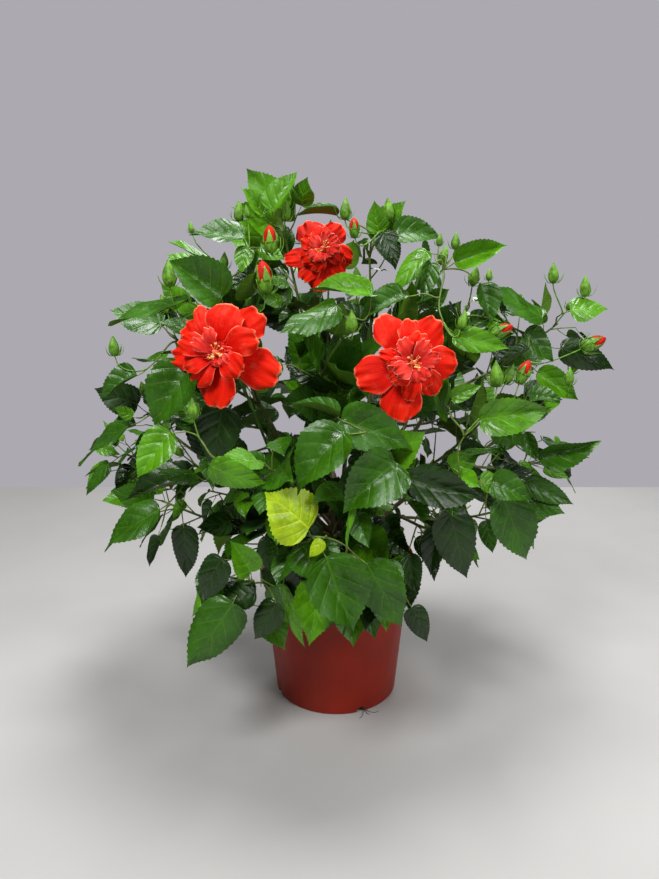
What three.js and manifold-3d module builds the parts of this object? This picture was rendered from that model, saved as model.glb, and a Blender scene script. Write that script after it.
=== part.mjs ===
// A double-flowered hibiscus shrub in a terracotta-coloured plastic nursery pot.
// Millimetres, +Z up. The origin is the middle of the pot's flat underside, and the crown's front faces -Y.
// The shrub is one short woody stem, boughs that each fork once, a leafy mass on every fork and three open
// blooms.
import * as THREE from "three";
import { mergeVertices } from "three/addons/utils/BufferGeometryUtils.js";
import Module from "manifold-3d";

const wasm = await Module();
wasm.setup();

// ---- driving dimensions ----
const POT = { height: 235, rimRadius: 127, footRadius: 101, wall: 2.2, lipBand: 22, lipOut: 4.5, sides: 28 };
const DRAIN = { count: 4, firstTurn: 293, width: 15, height: 9 };
const MIX = { top: 208, gap: 0.3, crownRise: 5 };
const STEM = { footRadius: 20, waistRadius: 13, topRadius: 10, top: 306, lean: 5, sides: 12, buttress: 0.12 };
const BOUGH = {
  rootRadius: 4.2, tipRadius: 2.9, sides: 5, steps: 3, shortest: 125, lowest: 236, highest: 300,
};
const TWIG = { leaderLength: 165, leaderRadius: 2.5, sideRadius: 1.2, tipShare: 0.62, sides: 3 };
const LEAF = {
  length: 98, widthShare: 0.74, stalkShare: 0.3, stalkRadius: 0.9, rootRadius: 0.35,
  thickShare: 0.016, fold: 0.07, arch: 0.06,
};
const BUD = { length: 27, stalk: 34, sides: 4 };
// A petal's width is a share of the bloom's radius, and so is an inner petal's length.
const BLOOM = {
  petals: 5, firstTurn: -18, outerWidth: 0.8, innerLength: 0.62, innerWidth: 0.5,
  petalThick: 1.6, stalkRadius: 1.7,
};
const GAP = 0.3; // clearance between solids that touch
const SPACE_MARGIN = 1; // how far a leaf stays inside the border of its mass's space
const LIMB_MARGIN = 1.6; // how far a leaf or twig stays from a limb that isn't its own
const LEAF_REACH = 92; // how far the leaves reach past the end of their leader
const CROWN_FOOT = new THREE.Vector3(0, 0, 300); // the point that the boughs fan out from
const GOLDEN_TURN = 137.5;
const UP = new THREE.Vector3(0, 0, 1);
const FRONT_LIGHT = new THREE.Vector3(0, -0.3, 0); // the leaves turn a little to the front

// Each bough forks into the ends listed under it. An end's turn is its compass angle from +X towards +Y, its
// rise is the angle above level, and its reach is how far its leaves get from CROWN_FOOT. A bloom's reach is
// that of its middle.
const BOUGHS = [
  { name: "top_left", ends: [
    { mass: "top_left", turn: -155, rise: 79, reach: 548, buds: 2 },
    { bloom: "top", turn: -109, rise: 81, reach: 418, size: 109, faceTurn: -88, faceRise: 12 } ] },
  { name: "top_right", ends: [
    { mass: "top_middle", turn: -50, rise: 80, reach: 508, buds: 2 },
    { mass: "top_right", turn: -28, rise: 67, reach: 492, buds: 2 } ] },
  { name: "upper_left", ends: [
    { mass: "upper_left", turn: -146, rise: 62, reach: 505, buds: 2 },
    { mass: "left_high", turn: -168, rise: 50, reach: 474, buds: 1 } ] },
  { name: "right_high", ends: [
    { mass: "right_high", turn: -27, rise: 59, reach: 488, buds: 1 },
    { mass: "right_tip", turn: 1, rise: 42, reach: 552, buds: 2 } ] },
  { name: "right_far", ends: [
    { mass: "right_far", turn: -8, rise: 33, reach: 500, buds: 1 },
    { mass: "right_out", turn: 0, rise: 15, reach: 445, buds: 0 } ] },
  { name: "left_middle", ends: [
    { mass: "left_middle", turn: -167, rise: 32, reach: 432, buds: 1 },
    { mass: "left_far", turn: 178, rise: 16, reach: 445, buds: 1 } ] },
  { name: "left_low", ends: [
    { mass: "left_low", turn: -163, rise: 10, reach: 372, buds: 0 },
    { mass: "left_under", turn: -128, rise: -9, reach: 332, buds: 0 } ] },
  { name: "front_left", ends: [
    { mass: "left_front", turn: -143, rise: 26, reach: 372, buds: 1 },
    { bloom: "left", turn: -122, rise: 46, reach: 395, size: 144, faceTurn: -100, faceRise: 14 } ] },
  { name: "front_high", ends: [
    { mass: "front_high", turn: -97, rise: 55, reach: 400, buds: 1 },
    { bloom: "right", turn: -70, rise: 47, reach: 373, size: 130, faceTurn: -82, faceRise: 12 } ] },
  { name: "right_middle", ends: [
    { mass: "right_middle", turn: -31, rise: 38, reach: 420, buds: 1 },
    { mass: "front_right", turn: -53, rise: 23, reach: 378, buds: 0 } ] },
  { name: "right_low", ends: [
    { mass: "right_low", turn: -21, rise: 9, reach: 374, buds: 0 },
    { mass: "right_under", turn: -46, rise: 8, reach: 324, buds: 0 } ] },
  { name: "front", ends: [
    { mass: "front_left", turn: -112, rise: 30, reach: 370, buds: 0 },
    { mass: "front_middle", turn: -81, rise: 28, reach: 372, buds: 0 } ] },
  { name: "front_low", ends: [
    { mass: "front_low", turn: -104, rise: 9, reach: 330, buds: 0 },
    { mass: "foot_right", turn: -74, rise: 1, reach: 308, buds: 0 } ] },
  { name: "back_left", ends: [
    { mass: "back_left_high", turn: 143, rise: 55, reach: 470, buds: 1 },
    { mass: "back_left", turn: 150, rise: 26, reach: 440, buds: 1 } ] },
  { name: "back", ends: [
    { mass: "back_high", turn: 95, rise: 71, reach: 520, buds: 1 },
    { mass: "back_middle", turn: 98, rise: 33, reach: 430, buds: 1 } ] },
  { name: "back_right", ends: [
    { mass: "back_right_high", turn: 36, rise: 54, reach: 480, buds: 1 },
    { mass: "back_right", turn: 42, rise: 24, reach: 440, buds: 1 } ] },
  { name: "back_low_left", ends: [
    { mass: "back_low_left", turn: 150, rise: 0, reach: 360, buds: 0 },
    { mass: "back_low", turn: 108, rise: 2, reach: 350, buds: 0 } ] },
  { name: "back_low_right", ends: [
    { mass: "back_low_middle", turn: 66, rise: 2, reach: 350, buds: 0 },
    { mass: "back_low_right", turn: 22, rise: 0, reach: 365, buds: 0 } ] },
];

// ---- small helpers ----
const radians = THREE.MathUtils.degToRad;
const mix = THREE.MathUtils.lerp;

// A repeatable stream of numbers from 0 to 1.
function dice(seed) {
  let state = seed * 3001 + 17;
  const next = () => {
    state = (state * 16807) % 2147483647;
    return state / 2147483647;
  };
  for (let i = 0; i < 5; i++) next();
  return next;
}

function heading(turn, rise) {
  const level = Math.cos(radians(rise));
  const east = level * Math.cos(radians(turn));
  const north = level * Math.sin(radians(turn));
  return new THREE.Vector3(east, north, Math.sin(radians(rise)));
}

const along = (start, direction, distance) => start.clone().addScaledVector(direction, distance);

// A direction turned from one unit vector towards another that is square to it.
function turnedFrom(across, other, degrees) {
  const turned = across.clone().multiplyScalar(Math.cos(radians(degrees)));
  return turned.addScaledVector(other, Math.sin(radians(degrees)));
}

// Two unit vectors square to a direction, the first as near to level as it can be.
function squareTo(direction) {
  const first = new THREE.Vector3().crossVectors(UP, direction);
  if (first.length() < 1e-3) first.set(1, 0, 0);
  first.normalize();
  return [first, new THREE.Vector3().crossVectors(direction, first).normalize()];
}

function outwardOf(point) {
  const level = new THREE.Vector3(point.x, point.y, 0);
  return level.length() < 20 ? new THREE.Vector3(0, -1, 0) : level.normalize();
}

function geometryOf(points, triangles) {
  const flat = points.flatMap((p) => [p.x, p.y, p.z]);
  const geometry = new THREE.BufferGeometry();
  geometry.setAttribute("position", new THREE.Float32BufferAttribute(flat, 3));
  geometry.setIndex(triangles.flat());
  return geometry;
}

// ---- joining and cutting ----
function solidOf(geometry) {
  const bare = geometry.clone();
  for (const name of ["normal", "uv"]) bare.deleteAttribute(name);
  const merged = mergeVertices(bare, 1e-3);
  return new wasm.Manifold(
    new wasm.Mesh({
      numProp: 3,
      vertProperties: merged.attributes.position.array,
      triVerts: new Uint32Array(merged.index.array),
    }),
  );
}

function geometryFrom(solid) {
  const mesh = solid.getMesh();
  const geometry = new THREE.BufferGeometry();
  geometry.setAttribute("position", new THREE.BufferAttribute(new Float32Array(mesh.vertProperties), 3));
  geometry.setIndex(new THREE.BufferAttribute(new Uint32Array(mesh.triVerts), 1));
  return geometry.toNonIndexed();
}

const fused = (geometries) => geometries.map(solidOf).reduce((whole, piece) => whole.add(piece));

// ---- finishes ----
const finish = (color, roughness) => new THREE.MeshStandardMaterial({ color, roughness, metalness: 0 });
const POT_PLASTIC = finish("#8f2a16", 0.42);
const POTTING_MIX = finish("#2c2019", 0.95);
const WOODY_BARK = finish("#6b5a45", 0.85);
const GREEN_LEAF = finish("#2f6b1a", 0.4);
const RED_PETAL = finish("#e4280f", 0.55);

// ---- limbs ----
const taper = (route, start, end) => route.map((_, i) => mix(start, end, i / (route.length - 1)));

// A closed limb: rings of points square to its route, one radius for each, capped at both ends. Its first face
// is square to firstWay where that is given, so that it sits flat on what carries it.
function limb(route, radii, sides, firstWay) {
  const points = [];
  const triangles = [];
  const last = route.length - 1;
  const ways = route.map((p, i) =>
    new THREE.Vector3().subVectors(route[Math.min(i + 1, last)], route[Math.max(i - 1, 0)]).normalize(),
  );
  if (firstWay) ways[0] = firstWay;
  let [across] = squareTo(ways[0]);
  route.forEach((centre, i) => {
    across = across.clone().addScaledVector(ways[i], -across.dot(ways[i])).normalize();
    const other = new THREE.Vector3().crossVectors(ways[i], across);
    const radius = radii[i];
    for (let k = 0; k < sides; k++) {
      const angle = (2 * Math.PI * k) / sides;
      points.push(along(along(centre, across, radius * Math.cos(angle)), other, radius * Math.sin(angle)));
    }
  });
  const ring = (i, k) => i * sides + (k % sides);
  for (let i = 0; i < last; i++) {
    for (let k = 0; k < sides; k++) {
      triangles.push([ring(i, k), ring(i, k + 1), ring(i + 1, k + 1)]);
      triangles.push([ring(i, k), ring(i + 1, k + 1), ring(i + 1, k)]);
    }
  }
  for (let k = 1; k < sides - 1; k++) {
    triangles.push([ring(0, 0), ring(0, k + 1), ring(0, k)]);
    triangles.push([ring(last, 0), ring(last, k), ring(last, k + 1)]);
  }
  return geometryOf(points, triangles);
}

const stemCentre = (z) => {
  const share = (z - MIX.top) / (STEM.top - MIX.top);
  return new THREE.Vector3(STEM.lean * share * share, 0, z);
};

function stemRadius(z) {
  const share = (z - MIX.top) / (STEM.top - MIX.top);
  const flare = (STEM.footRadius - STEM.waistRadius) * Math.max(0, 1 - share / 0.22) ** 2;
  return mix(STEM.waistRadius, STEM.topRadius, share) + flare;
}

// How far the many-sided stem reaches out in a level direction.
function stemReach(z, level) {
  const step = (2 * Math.PI) / STEM.sides;
  const turn = THREE.MathUtils.euclideanModulo(Math.atan2(level.y, level.x), step);
  return stemRadius(z) * Math.cos(Math.min(turn, step - turn));
}

// The stem widens towards its foot in five shallow buttresses.
function stemGeometry() {
  const foot = MIX.top + MIX.crownRise + GAP;
  const heights = [0, 0.06, 0.2, 0.5, 0.8, 1].map((share) => mix(foot, STEM.top, share));
  const points = [];
  const triangles = [];
  for (const z of heights) {
    const waist = mix(STEM.waistRadius, STEM.topRadius, (z - MIX.top) / (STEM.top - MIX.top));
    const relief = STEM.buttress * (stemRadius(z) / waist - 1);
    for (let k = 0; k < STEM.sides; k++) {
      const angle = (360 * k) / STEM.sides;
      const radius = stemRadius(z) * (1 + relief * Math.cos(5 * radians(angle)));
      points.push(along(stemCentre(z), heading(angle, 0), radius));
    }
  }
  const ring = (i, k) => i * STEM.sides + (k % STEM.sides);
  const topRing = heights.length - 1;
  for (let i = 0; i < topRing; i++) {
    for (let k = 0; k < STEM.sides; k++) {
      triangles.push([ring(i, k), ring(i, k + 1), ring(i + 1, k + 1)]);
      triangles.push([ring(i, k), ring(i + 1, k + 1), ring(i + 1, k)]);
    }
  }
  for (let k = 1; k < STEM.sides - 1; k++) {
    triangles.push([ring(0, 0), ring(0, k + 1), ring(0, k)]);
    triangles.push([ring(topRing, 0), ring(topRing, k), ring(topRing, k + 1)]);
  }
  return geometryOf(points, triangles);
}

// Where a bough leaves the stem, how it bends and where it forks. Steep boughs leave high on the stem.
function planBoughs() {
  const plans = BOUGHS.map((bough) => {
    const middle = new THREE.Vector3();
    let reach = 0;
    for (const end of bough.ends) {
      middle.add(heading(end.turn, end.rise));
      reach += (end.bloom ? end.reach + 60 : end.reach) / bough.ends.length;
    }
    middle.normalize();
    const forkReach = Math.max(BOUGH.shortest, reach - LEAF_REACH - TWIG.leaderLength);
    return { ...bough, middle, fork: along(CROWN_FOOT, middle, forkReach) };
  });
  const order = [...plans].sort((a, b) => a.middle.z - b.middle.z);
  order.forEach((plan, rank) => {
    const height = mix(BOUGH.lowest, BOUGH.highest, rank / (order.length - 1));
    const level = outwardOf(plan.middle.clone().multiplyScalar(1000));
    const leave = along(level, UP, mix(0.15, 1.1, Math.max(0, plan.middle.z))).normalize();
    const root = along(stemCentre(height), level, stemReach(height - BOUGH.rootRadius, level) + GAP);
    const length = root.distanceTo(plan.fork);
    const bend = along(root, leave, length * 0.36);
    const back = along(plan.fork, plan.middle, -length * 0.34);
    const curve = new THREE.CubicBezierCurve3(root, bend, back, plan.fork);
    plan.route = curve.getPoints(BOUGH.steps);
    plan.rootWay = level;
    plan.endWay = plan.fork.clone().sub(plan.route.at(-2)).normalize();
  });
  return plans;
}

// ---- distances, for keeping leaves out of limbs and in their own space ----
function pointToLine(p, a, b) {
  const way = b.clone().sub(a);
  const share = THREE.MathUtils.clamp(p.clone().sub(a).dot(way) / way.lengthSq(), 0, 1);
  return p.distanceTo(along(a, way, share));
}

function lineToLine(a, b, c, d) {
  const u = b.clone().sub(a);
  const v = d.clone().sub(c);
  const w = a.clone().sub(c);
  const uu = u.dot(u);
  const uv = u.dot(v);
  const vv = v.dot(v);
  const spread = uu * vv - uv * uv;
  const first = spread < 1e-9 ? 0 : THREE.MathUtils.clamp((uv * v.dot(w) - vv * u.dot(w)) / spread, 0, 1);
  const second = THREE.MathUtils.clamp((uv * first + v.dot(w)) / vv, 0, 1);
  const third = THREE.MathUtils.clamp((uv * second - u.dot(w)) / uu, 0, 1);
  return along(a, u, third).distanceTo(along(c, v, second));
}

function lineToTriangle(a, b, [p, q, r]) {
  const normal = q.clone().sub(p).cross(r.clone().sub(p)).normalize();
  const fromA = a.clone().sub(p).dot(normal);
  const fromB = b.clone().sub(p).dot(normal);
  const within = (point) =>
    [[p, q], [q, r], [r, p]].every(([s, e]) => e.clone().sub(s).cross(point.clone().sub(s)).dot(normal) >= 0);
  if (fromA * fromB < 0 && within(along(a, b.clone().sub(a), fromA / (fromA - fromB)))) return 0;
  const nearest = [[p, q], [q, r], [r, p]].map(([s, e]) => lineToLine(a, b, s, e));
  if (within(a)) nearest.push(Math.abs(fromA));
  if (within(b)) nearest.push(Math.abs(fromB));
  return Math.min(...nearest);
}

function trianglesMeet(first, second) {
  const sides = ([p, q, r]) => [[p, q], [q, r], [r, p]];
  return (
    sides(first).some(([a, b]) => lineToTriangle(a, b, second) === 0) ||
    sides(second).some(([a, b]) => lineToTriangle(a, b, first) === 0)
  );
}

// ---- the spaces that masses and blooms keep to ----
const bloomFace = (end) => heading(end.faceTurn, end.faceRise);

// Each end starts beside the fork's middle, on its own side, just clear of the bough's end face.
function planEnds(plans) {
  const ends = plans.flatMap((plan) => plan.ends.map((end) => ({ ...end, plan })));
  ends.forEach((end, index) => {
    const { fork, endWay } = end.plan;
    end.seed = index + 1;
    end.goal = along(CROWN_FOOT, heading(end.turn, end.rise), end.bloom ? end.reach : end.reach - LEAF_REACH);
    const sideways = end.goal.clone().sub(fork);
    sideways.addScaledVector(endWay, -sideways.dot(endWay)).normalize();
    end.base = along(along(fork, sideways, TWIG.leaderRadius + 0.1), endWay, GAP);
  });
  return ends;
}

function keepsToSpace(point, own, ends) {
  const mine = pointToLine(point, own.base, own.goal);
  return ends.every((other) => {
    if (other === own) return true;
    if (!other.bloom) return pointToLine(point, other.base, other.goal) > mine + SPACE_MARGIN;
    return clearOfBloom(point, other);
  });
}

// Leaves stay off a bloom, out of the air in front of it and off its stalk.
function clearOfBloom(point, bloom) {
  const face = bloomFace(bloom);
  const from = point.clone().sub(bloom.goal);
  const depth = from.dot(face);
  const side = along(from, face, -depth).length();
  const radius = bloom.size / 2;
  if (depth > -34 && depth < 24 && side < radius + 5) return false;
  if (depth >= 24 && depth < 260 && side < radius * 0.86) return false;
  return true;
}

function clearOfPot(point) {
  const level = Math.hypot(point.x, point.y);
  return point.z > 10 && (point.z > POT.height + 6 || level > POT.rimRadius + 6);
}

// ---- one leaf ----
// The right half of its outline from heel to tip, as shares of its length and of its half width.
const HALF_BLADE = [[0.17, 0.82], [0.52, 0.95]];
const BLADE_MIDDLE = 0.42;

// A blade hangs from the end of its stalk, which runs along stalkWay, and turns its upper side to the light.
function leafAt(node, stalkWay, size, droop, light) {
  const heel = along(node, stalkWay, size * LEAF.stalkShare);
  const spine = stalkWay.clone().multiplyScalar(0.75).addScaledVector(outwardOf(node), 0.4);
  spine.addScaledVector(UP, -droop).normalize();
  const normal = light.clone().addScaledVector(spine, -light.dot(spine)).normalize();
  const side = new THREE.Vector3().crossVectors(normal, spine);
  const half = (size * LEAF.widthShare) / 2;
  const at = (u, v) => {
    const lift = size * (LEAF.fold * Math.abs(v) - LEAF.arch * u * u);
    return along(along(along(heel, spine, size * u), side, half * v), normal, lift);
  };
  const edge = [
    ...HALF_BLADE.map(([u, v]) => at(u, -v)),
    at(1, 0),
    ...[...HALF_BLADE].reverse().map(([u, v]) => at(u, v)),
  ];
  return { node, heel, normal, side, size, edge, middle: at(BLADE_MIDDLE, 0) };
}

function leafTriangles({ heel, edge, middle }) {
  const outline = [heel, ...edge];
  return outline.map((p, i) => [middle, p, outline[(i + 1) % outline.length]]);
}

// A three-sided stalk or twig that opens out at its end into a thin blade with a sharp rim, all one body.
function bladedLimb(route, radii, { normal, side, size, edge, middle }, firstWay) {
  const points = [];
  let across = side;
  for (let i = route.length - 1; i >= 0; i--) {
    const ahead = route[Math.min(i + 1, route.length - 1)];
    const chord = new THREE.Vector3().subVectors(ahead, route[Math.max(i - 1, 0)]);
    const way = i === 0 && firstWay ? firstWay : chord.normalize();
    across = across.clone().addScaledVector(way, -across.dot(way)).normalize();
    const above = new THREE.Vector3().crossVectors(way, across);
    points.unshift(
      along(route[i], across, -radii[i]),
      along(route[i], across, radii[i]),
      along(route[i], above, -radii[i]),
    );
  }
  const triangles = [[0, 1, 2]];
  const right = points.length - 3;
  const [left, under] = [right + 1, right + 2];
  for (let ring = 3; ring <= right; ring += 3) {
    for (const [a, b] of [[ring, ring + 1], [ring + 1, ring + 2], [ring + 2, ring]]) {
      triangles.push([a, b, b - 3], [a, b - 3, a - 3]);
    }
  }
  const rim = [right, ...edge.map((_, i) => under + 1 + i), left];
  const tip = rim[(rim.length - 1) / 2];
  const top = under + 1 + edge.length;
  points.push(...edge, along(middle, normal, (size * LEAF.thickShare) / 2));
  for (let i = 0; i < rim.length - 1; i++) {
    triangles.push([top, rim[i], rim[i + 1]]);
    if (rim[i] !== tip && rim[i + 1] !== tip) triangles.push([tip, rim[i + 1], rim[i]]);
  }
  triangles.push([top, left, right], [tip, right, under], [tip, under, left]);
  return geometryOf(points, triangles);
}

// ---- one bud ----
// Its stalk and its pointed, full-bellied body are one limb.
function budGeometry(node, way, size) {
  const { stalk, length } = BUD;
  const stations = [[0, 0.4], [stalk, 0.9], [stalk + 4, 4.6], [stalk + 11, 6.4], [stalk + length, 0.8]];
  const route = stations.map(([distance]) => along(node, way, distance * size));
  const radii = stations.map(([, radius]) => radius * size);
  return limb(route, radii, BUD.sides);
}

// ---- one mass of foliage ----
const SIDE_TWIGS = [0.3, 0.62];
const SIDE_ANGLE = 50;
const LEADER_LEAVES = 6;
const SIDE_LEAVES = 1;
const TRIES = 16;

function leaderRoute(end) {
  const sag = end.base.distanceTo(end.goal) * 0.06;
  return [0, 0.5, 1].map((share) => {
    return along(end.base.clone().lerp(end.goal, share), UP, -4 * sag * share * (1 - share));
  });
}

// The point, the direction and two directions square to it, at a share of a route's length.
function stationOn(route, share) {
  const at = Math.min(share * (route.length - 1), route.length - 1 - 1e-6);
  const index = Math.floor(at);
  const way = route[index + 1].clone().sub(route[index]).normalize();
  const [across, other] = squareTo(way);
  const radialAt = (degrees) => turnedFrom(across, other, degrees);
  return { point: route[index].clone().lerp(route[index + 1], at - index), way, radialAt };
}

function growMass(end, ends, limbs) {
  const random = dice(end.seed);
  const low = THREE.MathUtils.clamp((40 - end.rise) / 60, 0, 1);
  const others = limbs.filter((l) => l.plan !== end.plan);
  const clearOfLimbs = (a, b, radius) =>
    others.every((l) => lineToLine(a, b, l.from, l.to) > l.radius + radius + LIMB_MARGIN);
  const inSpace = (p) =>
    p.distanceTo(CROWN_FOOT) < end.reach && clearOfPot(p) && keepsToSpace(p, end, ends);
  const leader = leaderRoute(end);
  const length = end.base.distanceTo(end.goal);
  let turn = 360 * random();

  const radii = taper(leader, TWIG.leaderRadius, TWIG.leaderRadius * TWIG.tipShare);
  const shoots = [{ route: leader, radii, leaves: LEADER_LEAVES, firstWay: end.plan.endWay }];
  for (const share of SIDE_TWIGS) {
    const { point, way, radialAt } = stationOn(leader, share);
    const reach = (50 + 24 * random()) * Math.min(1, length / 110);
    turn += GOLDEN_TURN;
    for (let attempt = 0; attempt < 6; attempt++) {
      const aim = way.clone().multiplyScalar(Math.cos(radians(SIDE_ANGLE)));
      aim.addScaledVector(radialAt(turn + 60 * attempt), Math.sin(radians(SIDE_ANGLE)));
      aim.addScaledVector(UP, mix(0.22, -0.1, low)).normalize();
      const tip = along(point, aim, reach);
      if (inSpace(tip) && clearOfLimbs(point, tip, 2)) {
        const route = [point, tip];
        shoots.push({ route, radii: [TWIG.sideRadius, TWIG.sideRadius * 0.8], leaves: SIDE_LEAVES });
        break;
      }
    }
  }

  const leaves = [];
  const ownTwigs = shoots.flatMap((s) => s.route.slice(1).map((to, i) => [s.route[i], to]));
  const crosses = (first, second) => {
    const blade = leafTriangles(first);
    return (
      blade.some((t) => lineToTriangle(second.node, second.heel, t) < 1.5) ||
      leafTriangles(second).some((s) => lineToTriangle(first.node, first.heel, s) < 1.5) ||
      leafTriangles(second).some((s) => blade.some((t) => trianglesMeet(s, t)))
    );
  };
  const fits = (leaf) =>
    leaf.edge.every(inSpace) &&
    inSpace(leaf.heel) &&
    clearOfLimbs(leaf.node, leaf.heel, 1) &&
    leafTriangles(leaf).every(
      (t) =>
        others.every((l) => lineToTriangle(l.from, l.to, t) > l.radius + LIMB_MARGIN) &&
        ownTwigs.every(([a, b]) => lineToTriangle(a, b, t) > 2.5),
    ) &&
    leaves.every(
      (placed) =>
        placed.middle.distanceTo(leaf.middle) > (placed.size + leaf.size) * 0.7 || !crosses(placed, leaf),
    );
  // Tries one leaf after another, each turned further round, until one fits.
  const sprout = (share, stalkWayAt, node) => {
    const size = LEAF.length * share * mix(1, 0.86, Math.max(0, end.rise) / 80);
    const droop = mix(-0.1, 0.62, low) + 0.35 * random();
    const light = along(UP.clone().multiplyScalar(0.5), outwardOf(node), 0.5 + 0.2 * low).add(FRONT_LIGHT);
    light.add(new THREE.Vector3(random() - 0.5, random() - 0.5, 0).multiplyScalar(0.9)).normalize();
    for (let attempt = 0; attempt < TRIES; attempt++) {
      const smaller = size * (1 - 0.018 * attempt);
      const leaf = leafAt(node, stalkWayAt(attempt), smaller, droop + 0.03 * attempt, light);
      if (fits(leaf)) {
        leaves.push(leaf);
        return leaf;
      }
    }
    return null;
  };

  for (const shoot of shoots) {
    const { point, way, radialAt } = stationOn(shoot.route, 1);
    const swing = 360 * random();
    const endWay = (attempt) => along(way, radialAt(swing + 100 * attempt), 0.12 * attempt).normalize();
    shoot.endLeaf = sprout(mix(0.7, 0.88, random()), endWay, point);
    if (shoot.endLeaf) leaves.pop();
  }
  leaves.push(...shoots.map((s) => s.endLeaf).filter(Boolean));
  const endLeaves = leaves.length;
  for (const shoot of shoots) {
    for (let i = 0; i < shoot.leaves; i++) {
      const share = shoot.leaves === 1 ? 0.55 : mix(0.14, 0.92, i / (shoot.leaves - 1));
      const { point, way, radialAt } = stationOn(shoot.route, share);
      turn += GOLDEN_TURN;
      const heading = turn;
      const stalkWay = (attempt) => {
        const spread = attempt < TRIES / 2 ? 0.85 : 0.45;
        const aim = way.clone().multiplyScalar(0.55).addScaledVector(UP, 0.25);
        return aim.addScaledVector(radialAt(heading + 47 * attempt), spread).normalize();
      };
      sprout(mix(1.04, 0.86, share) * mix(0.9, 1.1, random()), stalkWay, point);
    }
  }

  const buds = [];
  for (let i = 0; i < end.buds; i++) {
    const { point, way, radialAt } = stationOn(shoots[i % shoots.length].route, 0.96);
    const size = mix(0.8, 1.2, random());
    const swing = 360 * random();
    for (let attempt = 0; attempt < TRIES; attempt++) {
      const aim = way.clone().multiplyScalar(0.6).addScaledVector(UP, 0.7);
      const budWay = aim.addScaledVector(radialAt(swing + 67 * attempt), 0.35).normalize();
      const tip = along(point, budWay, (BUD.stalk + BUD.length) * size);
      const clear = leaves.flatMap(leafTriangles).every((t) => lineToTriangle(point, tip, t) > 8);
      if (clear && keepsToSpace(tip, end, ends) && clearOfLimbs(point, tip, 8)) {
        buds.push([point, budWay, size]);
        break;
      }
    }
  }
  return { shoots, leaves: leaves.slice(endLeaves), buds };
}

function massGeometry({ shoots, leaves, buds }) {
  const pieces = shoots.map(({ route, radii, endLeaf, firstWay }) =>
    endLeaf
      ? bladedLimb([...route, endLeaf.heel], [...radii, LEAF.stalkRadius], endLeaf, firstWay)
      : limb(route, radii, TWIG.sides, firstWay),
  );
  for (const leaf of leaves) {
    pieces.push(bladedLimb([leaf.node, leaf.heel], [LEAF.rootRadius, LEAF.stalkRadius], leaf));
  }
  for (const bud of buds) pieces.push(budGeometry(...bud));
  return geometryFrom(fused(pieces));
}

// ---- one bloom ----
// One side of a petal's outline from claw to rim, as shares of its length and of its half width.
const OUTER_PETAL = [[0.05, 0.1], [0.42, 0.66], [0.8, 1], [1, 0.55]];
const INNER_PETAL = [[0.05, 0.1], [0.5, 0.6], [0.95, 0.85]];
const PETAL_MIDDLE = 0.6;

// A petal lies in the bloom's face, lifts towards it and is turned about its own spoke, so that its left edge
// lies over its neighbour's right edge.
function petalGeometry(outline, claw, face, spoke, length, width, lift) {
  const side = new THREE.Vector3().crossVectors(face, spoke).normalize();
  const at = (u, v) => {
    const rise = length * (lift * Math.sin(2.2 * u) - 0.12 * u * u + 0.07 * u * v);
    return along(along(along(claw, spoke, length * u), side, (width / 2) * v), face, rise);
  };
  const rim = [...outline.map(([u, v]) => at(u, -v)), ...[...outline].reverse().map(([u, v]) => at(u, v))];
  const middle = at(PETAL_MIDDLE, 0);
  const thick = BLOOM.petalThick;
  const points = [...rim, along(middle, face, thick / 2), along(middle, face, -thick / 2)];
  const top = rim.length;
  const triangles = rim.flatMap((_, i) => {
    const next = (i + 1) % rim.length;
    return [[top, i, next], [top + 1, next, i]];
  });
  return geometryOf(points, triangles);
}

function bloomGeometry(end) {
  const face = bloomFace(end);
  const [across, other] = squareTo(face);
  const spokeAt = (degrees) => turnedFrom(across, other, degrees);
  const radius = end.size / 2;
  const neck = along(end.goal, face, -10);
  const behind = along(neck, face, -26);
  const pieces = [
    limb([behind, along(neck, face, -10), along(neck, face, 3)], [4, 7, 9], 6), // the calyx
    limb([along(neck, face, 1), along(neck, face, 36)], [6, 3], 6), // the column of stamens
  ];
  const inside = along(neck, face, 8);
  const innerLength = radius * BLOOM.innerLength;
  for (let k = 0; k < BLOOM.petals; k++) {
    const outer = spokeAt(BLOOM.firstTurn + (360 * k) / BLOOM.petals);
    const inner = spokeAt(BLOOM.firstTurn + (360 * (k + 0.5)) / BLOOM.petals);
    pieces.push(petalGeometry(OUTER_PETAL, neck, face, outer, radius, radius * BLOOM.outerWidth, 0.18));
    pieces.push(petalGeometry(INNER_PETAL, inside, face, inner, innerLength, radius * BLOOM.innerWidth, 0.4));
  }
  const out = end.goal.clone().sub(end.base).normalize();
  const stalk = new THREE.CubicBezierCurve3(
    end.base,
    along(end.base, out, 40),
    along(behind, face, -30),
    along(behind, face, 4),
  );
  pieces.push(limb(stalk.getPoints(5), Array(6).fill(BLOOM.stalkRadius), TWIG.sides, end.plan.endWay));
  return geometryFrom(fused(pieces).simplify(0.02));
}

// ---- pot and potting mix ----
const LIP_FOOT = POT.height - POT.lipBand;
const WALL_TOP = POT.rimRadius - POT.lipOut - 1.5; // the outside of the wall, just under the lip
const outsideAt = (z) => mix(POT.footRadius, WALL_TOP, (z - 3) / (LIP_FOOT - 3));

function turned(outline) {
  const body = new THREE.LatheGeometry(outline.map(([r, z]) => new THREE.Vector2(r, z)), POT.sides);
  return solidOf(body.rotateX(Math.PI / 2));
}

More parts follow.
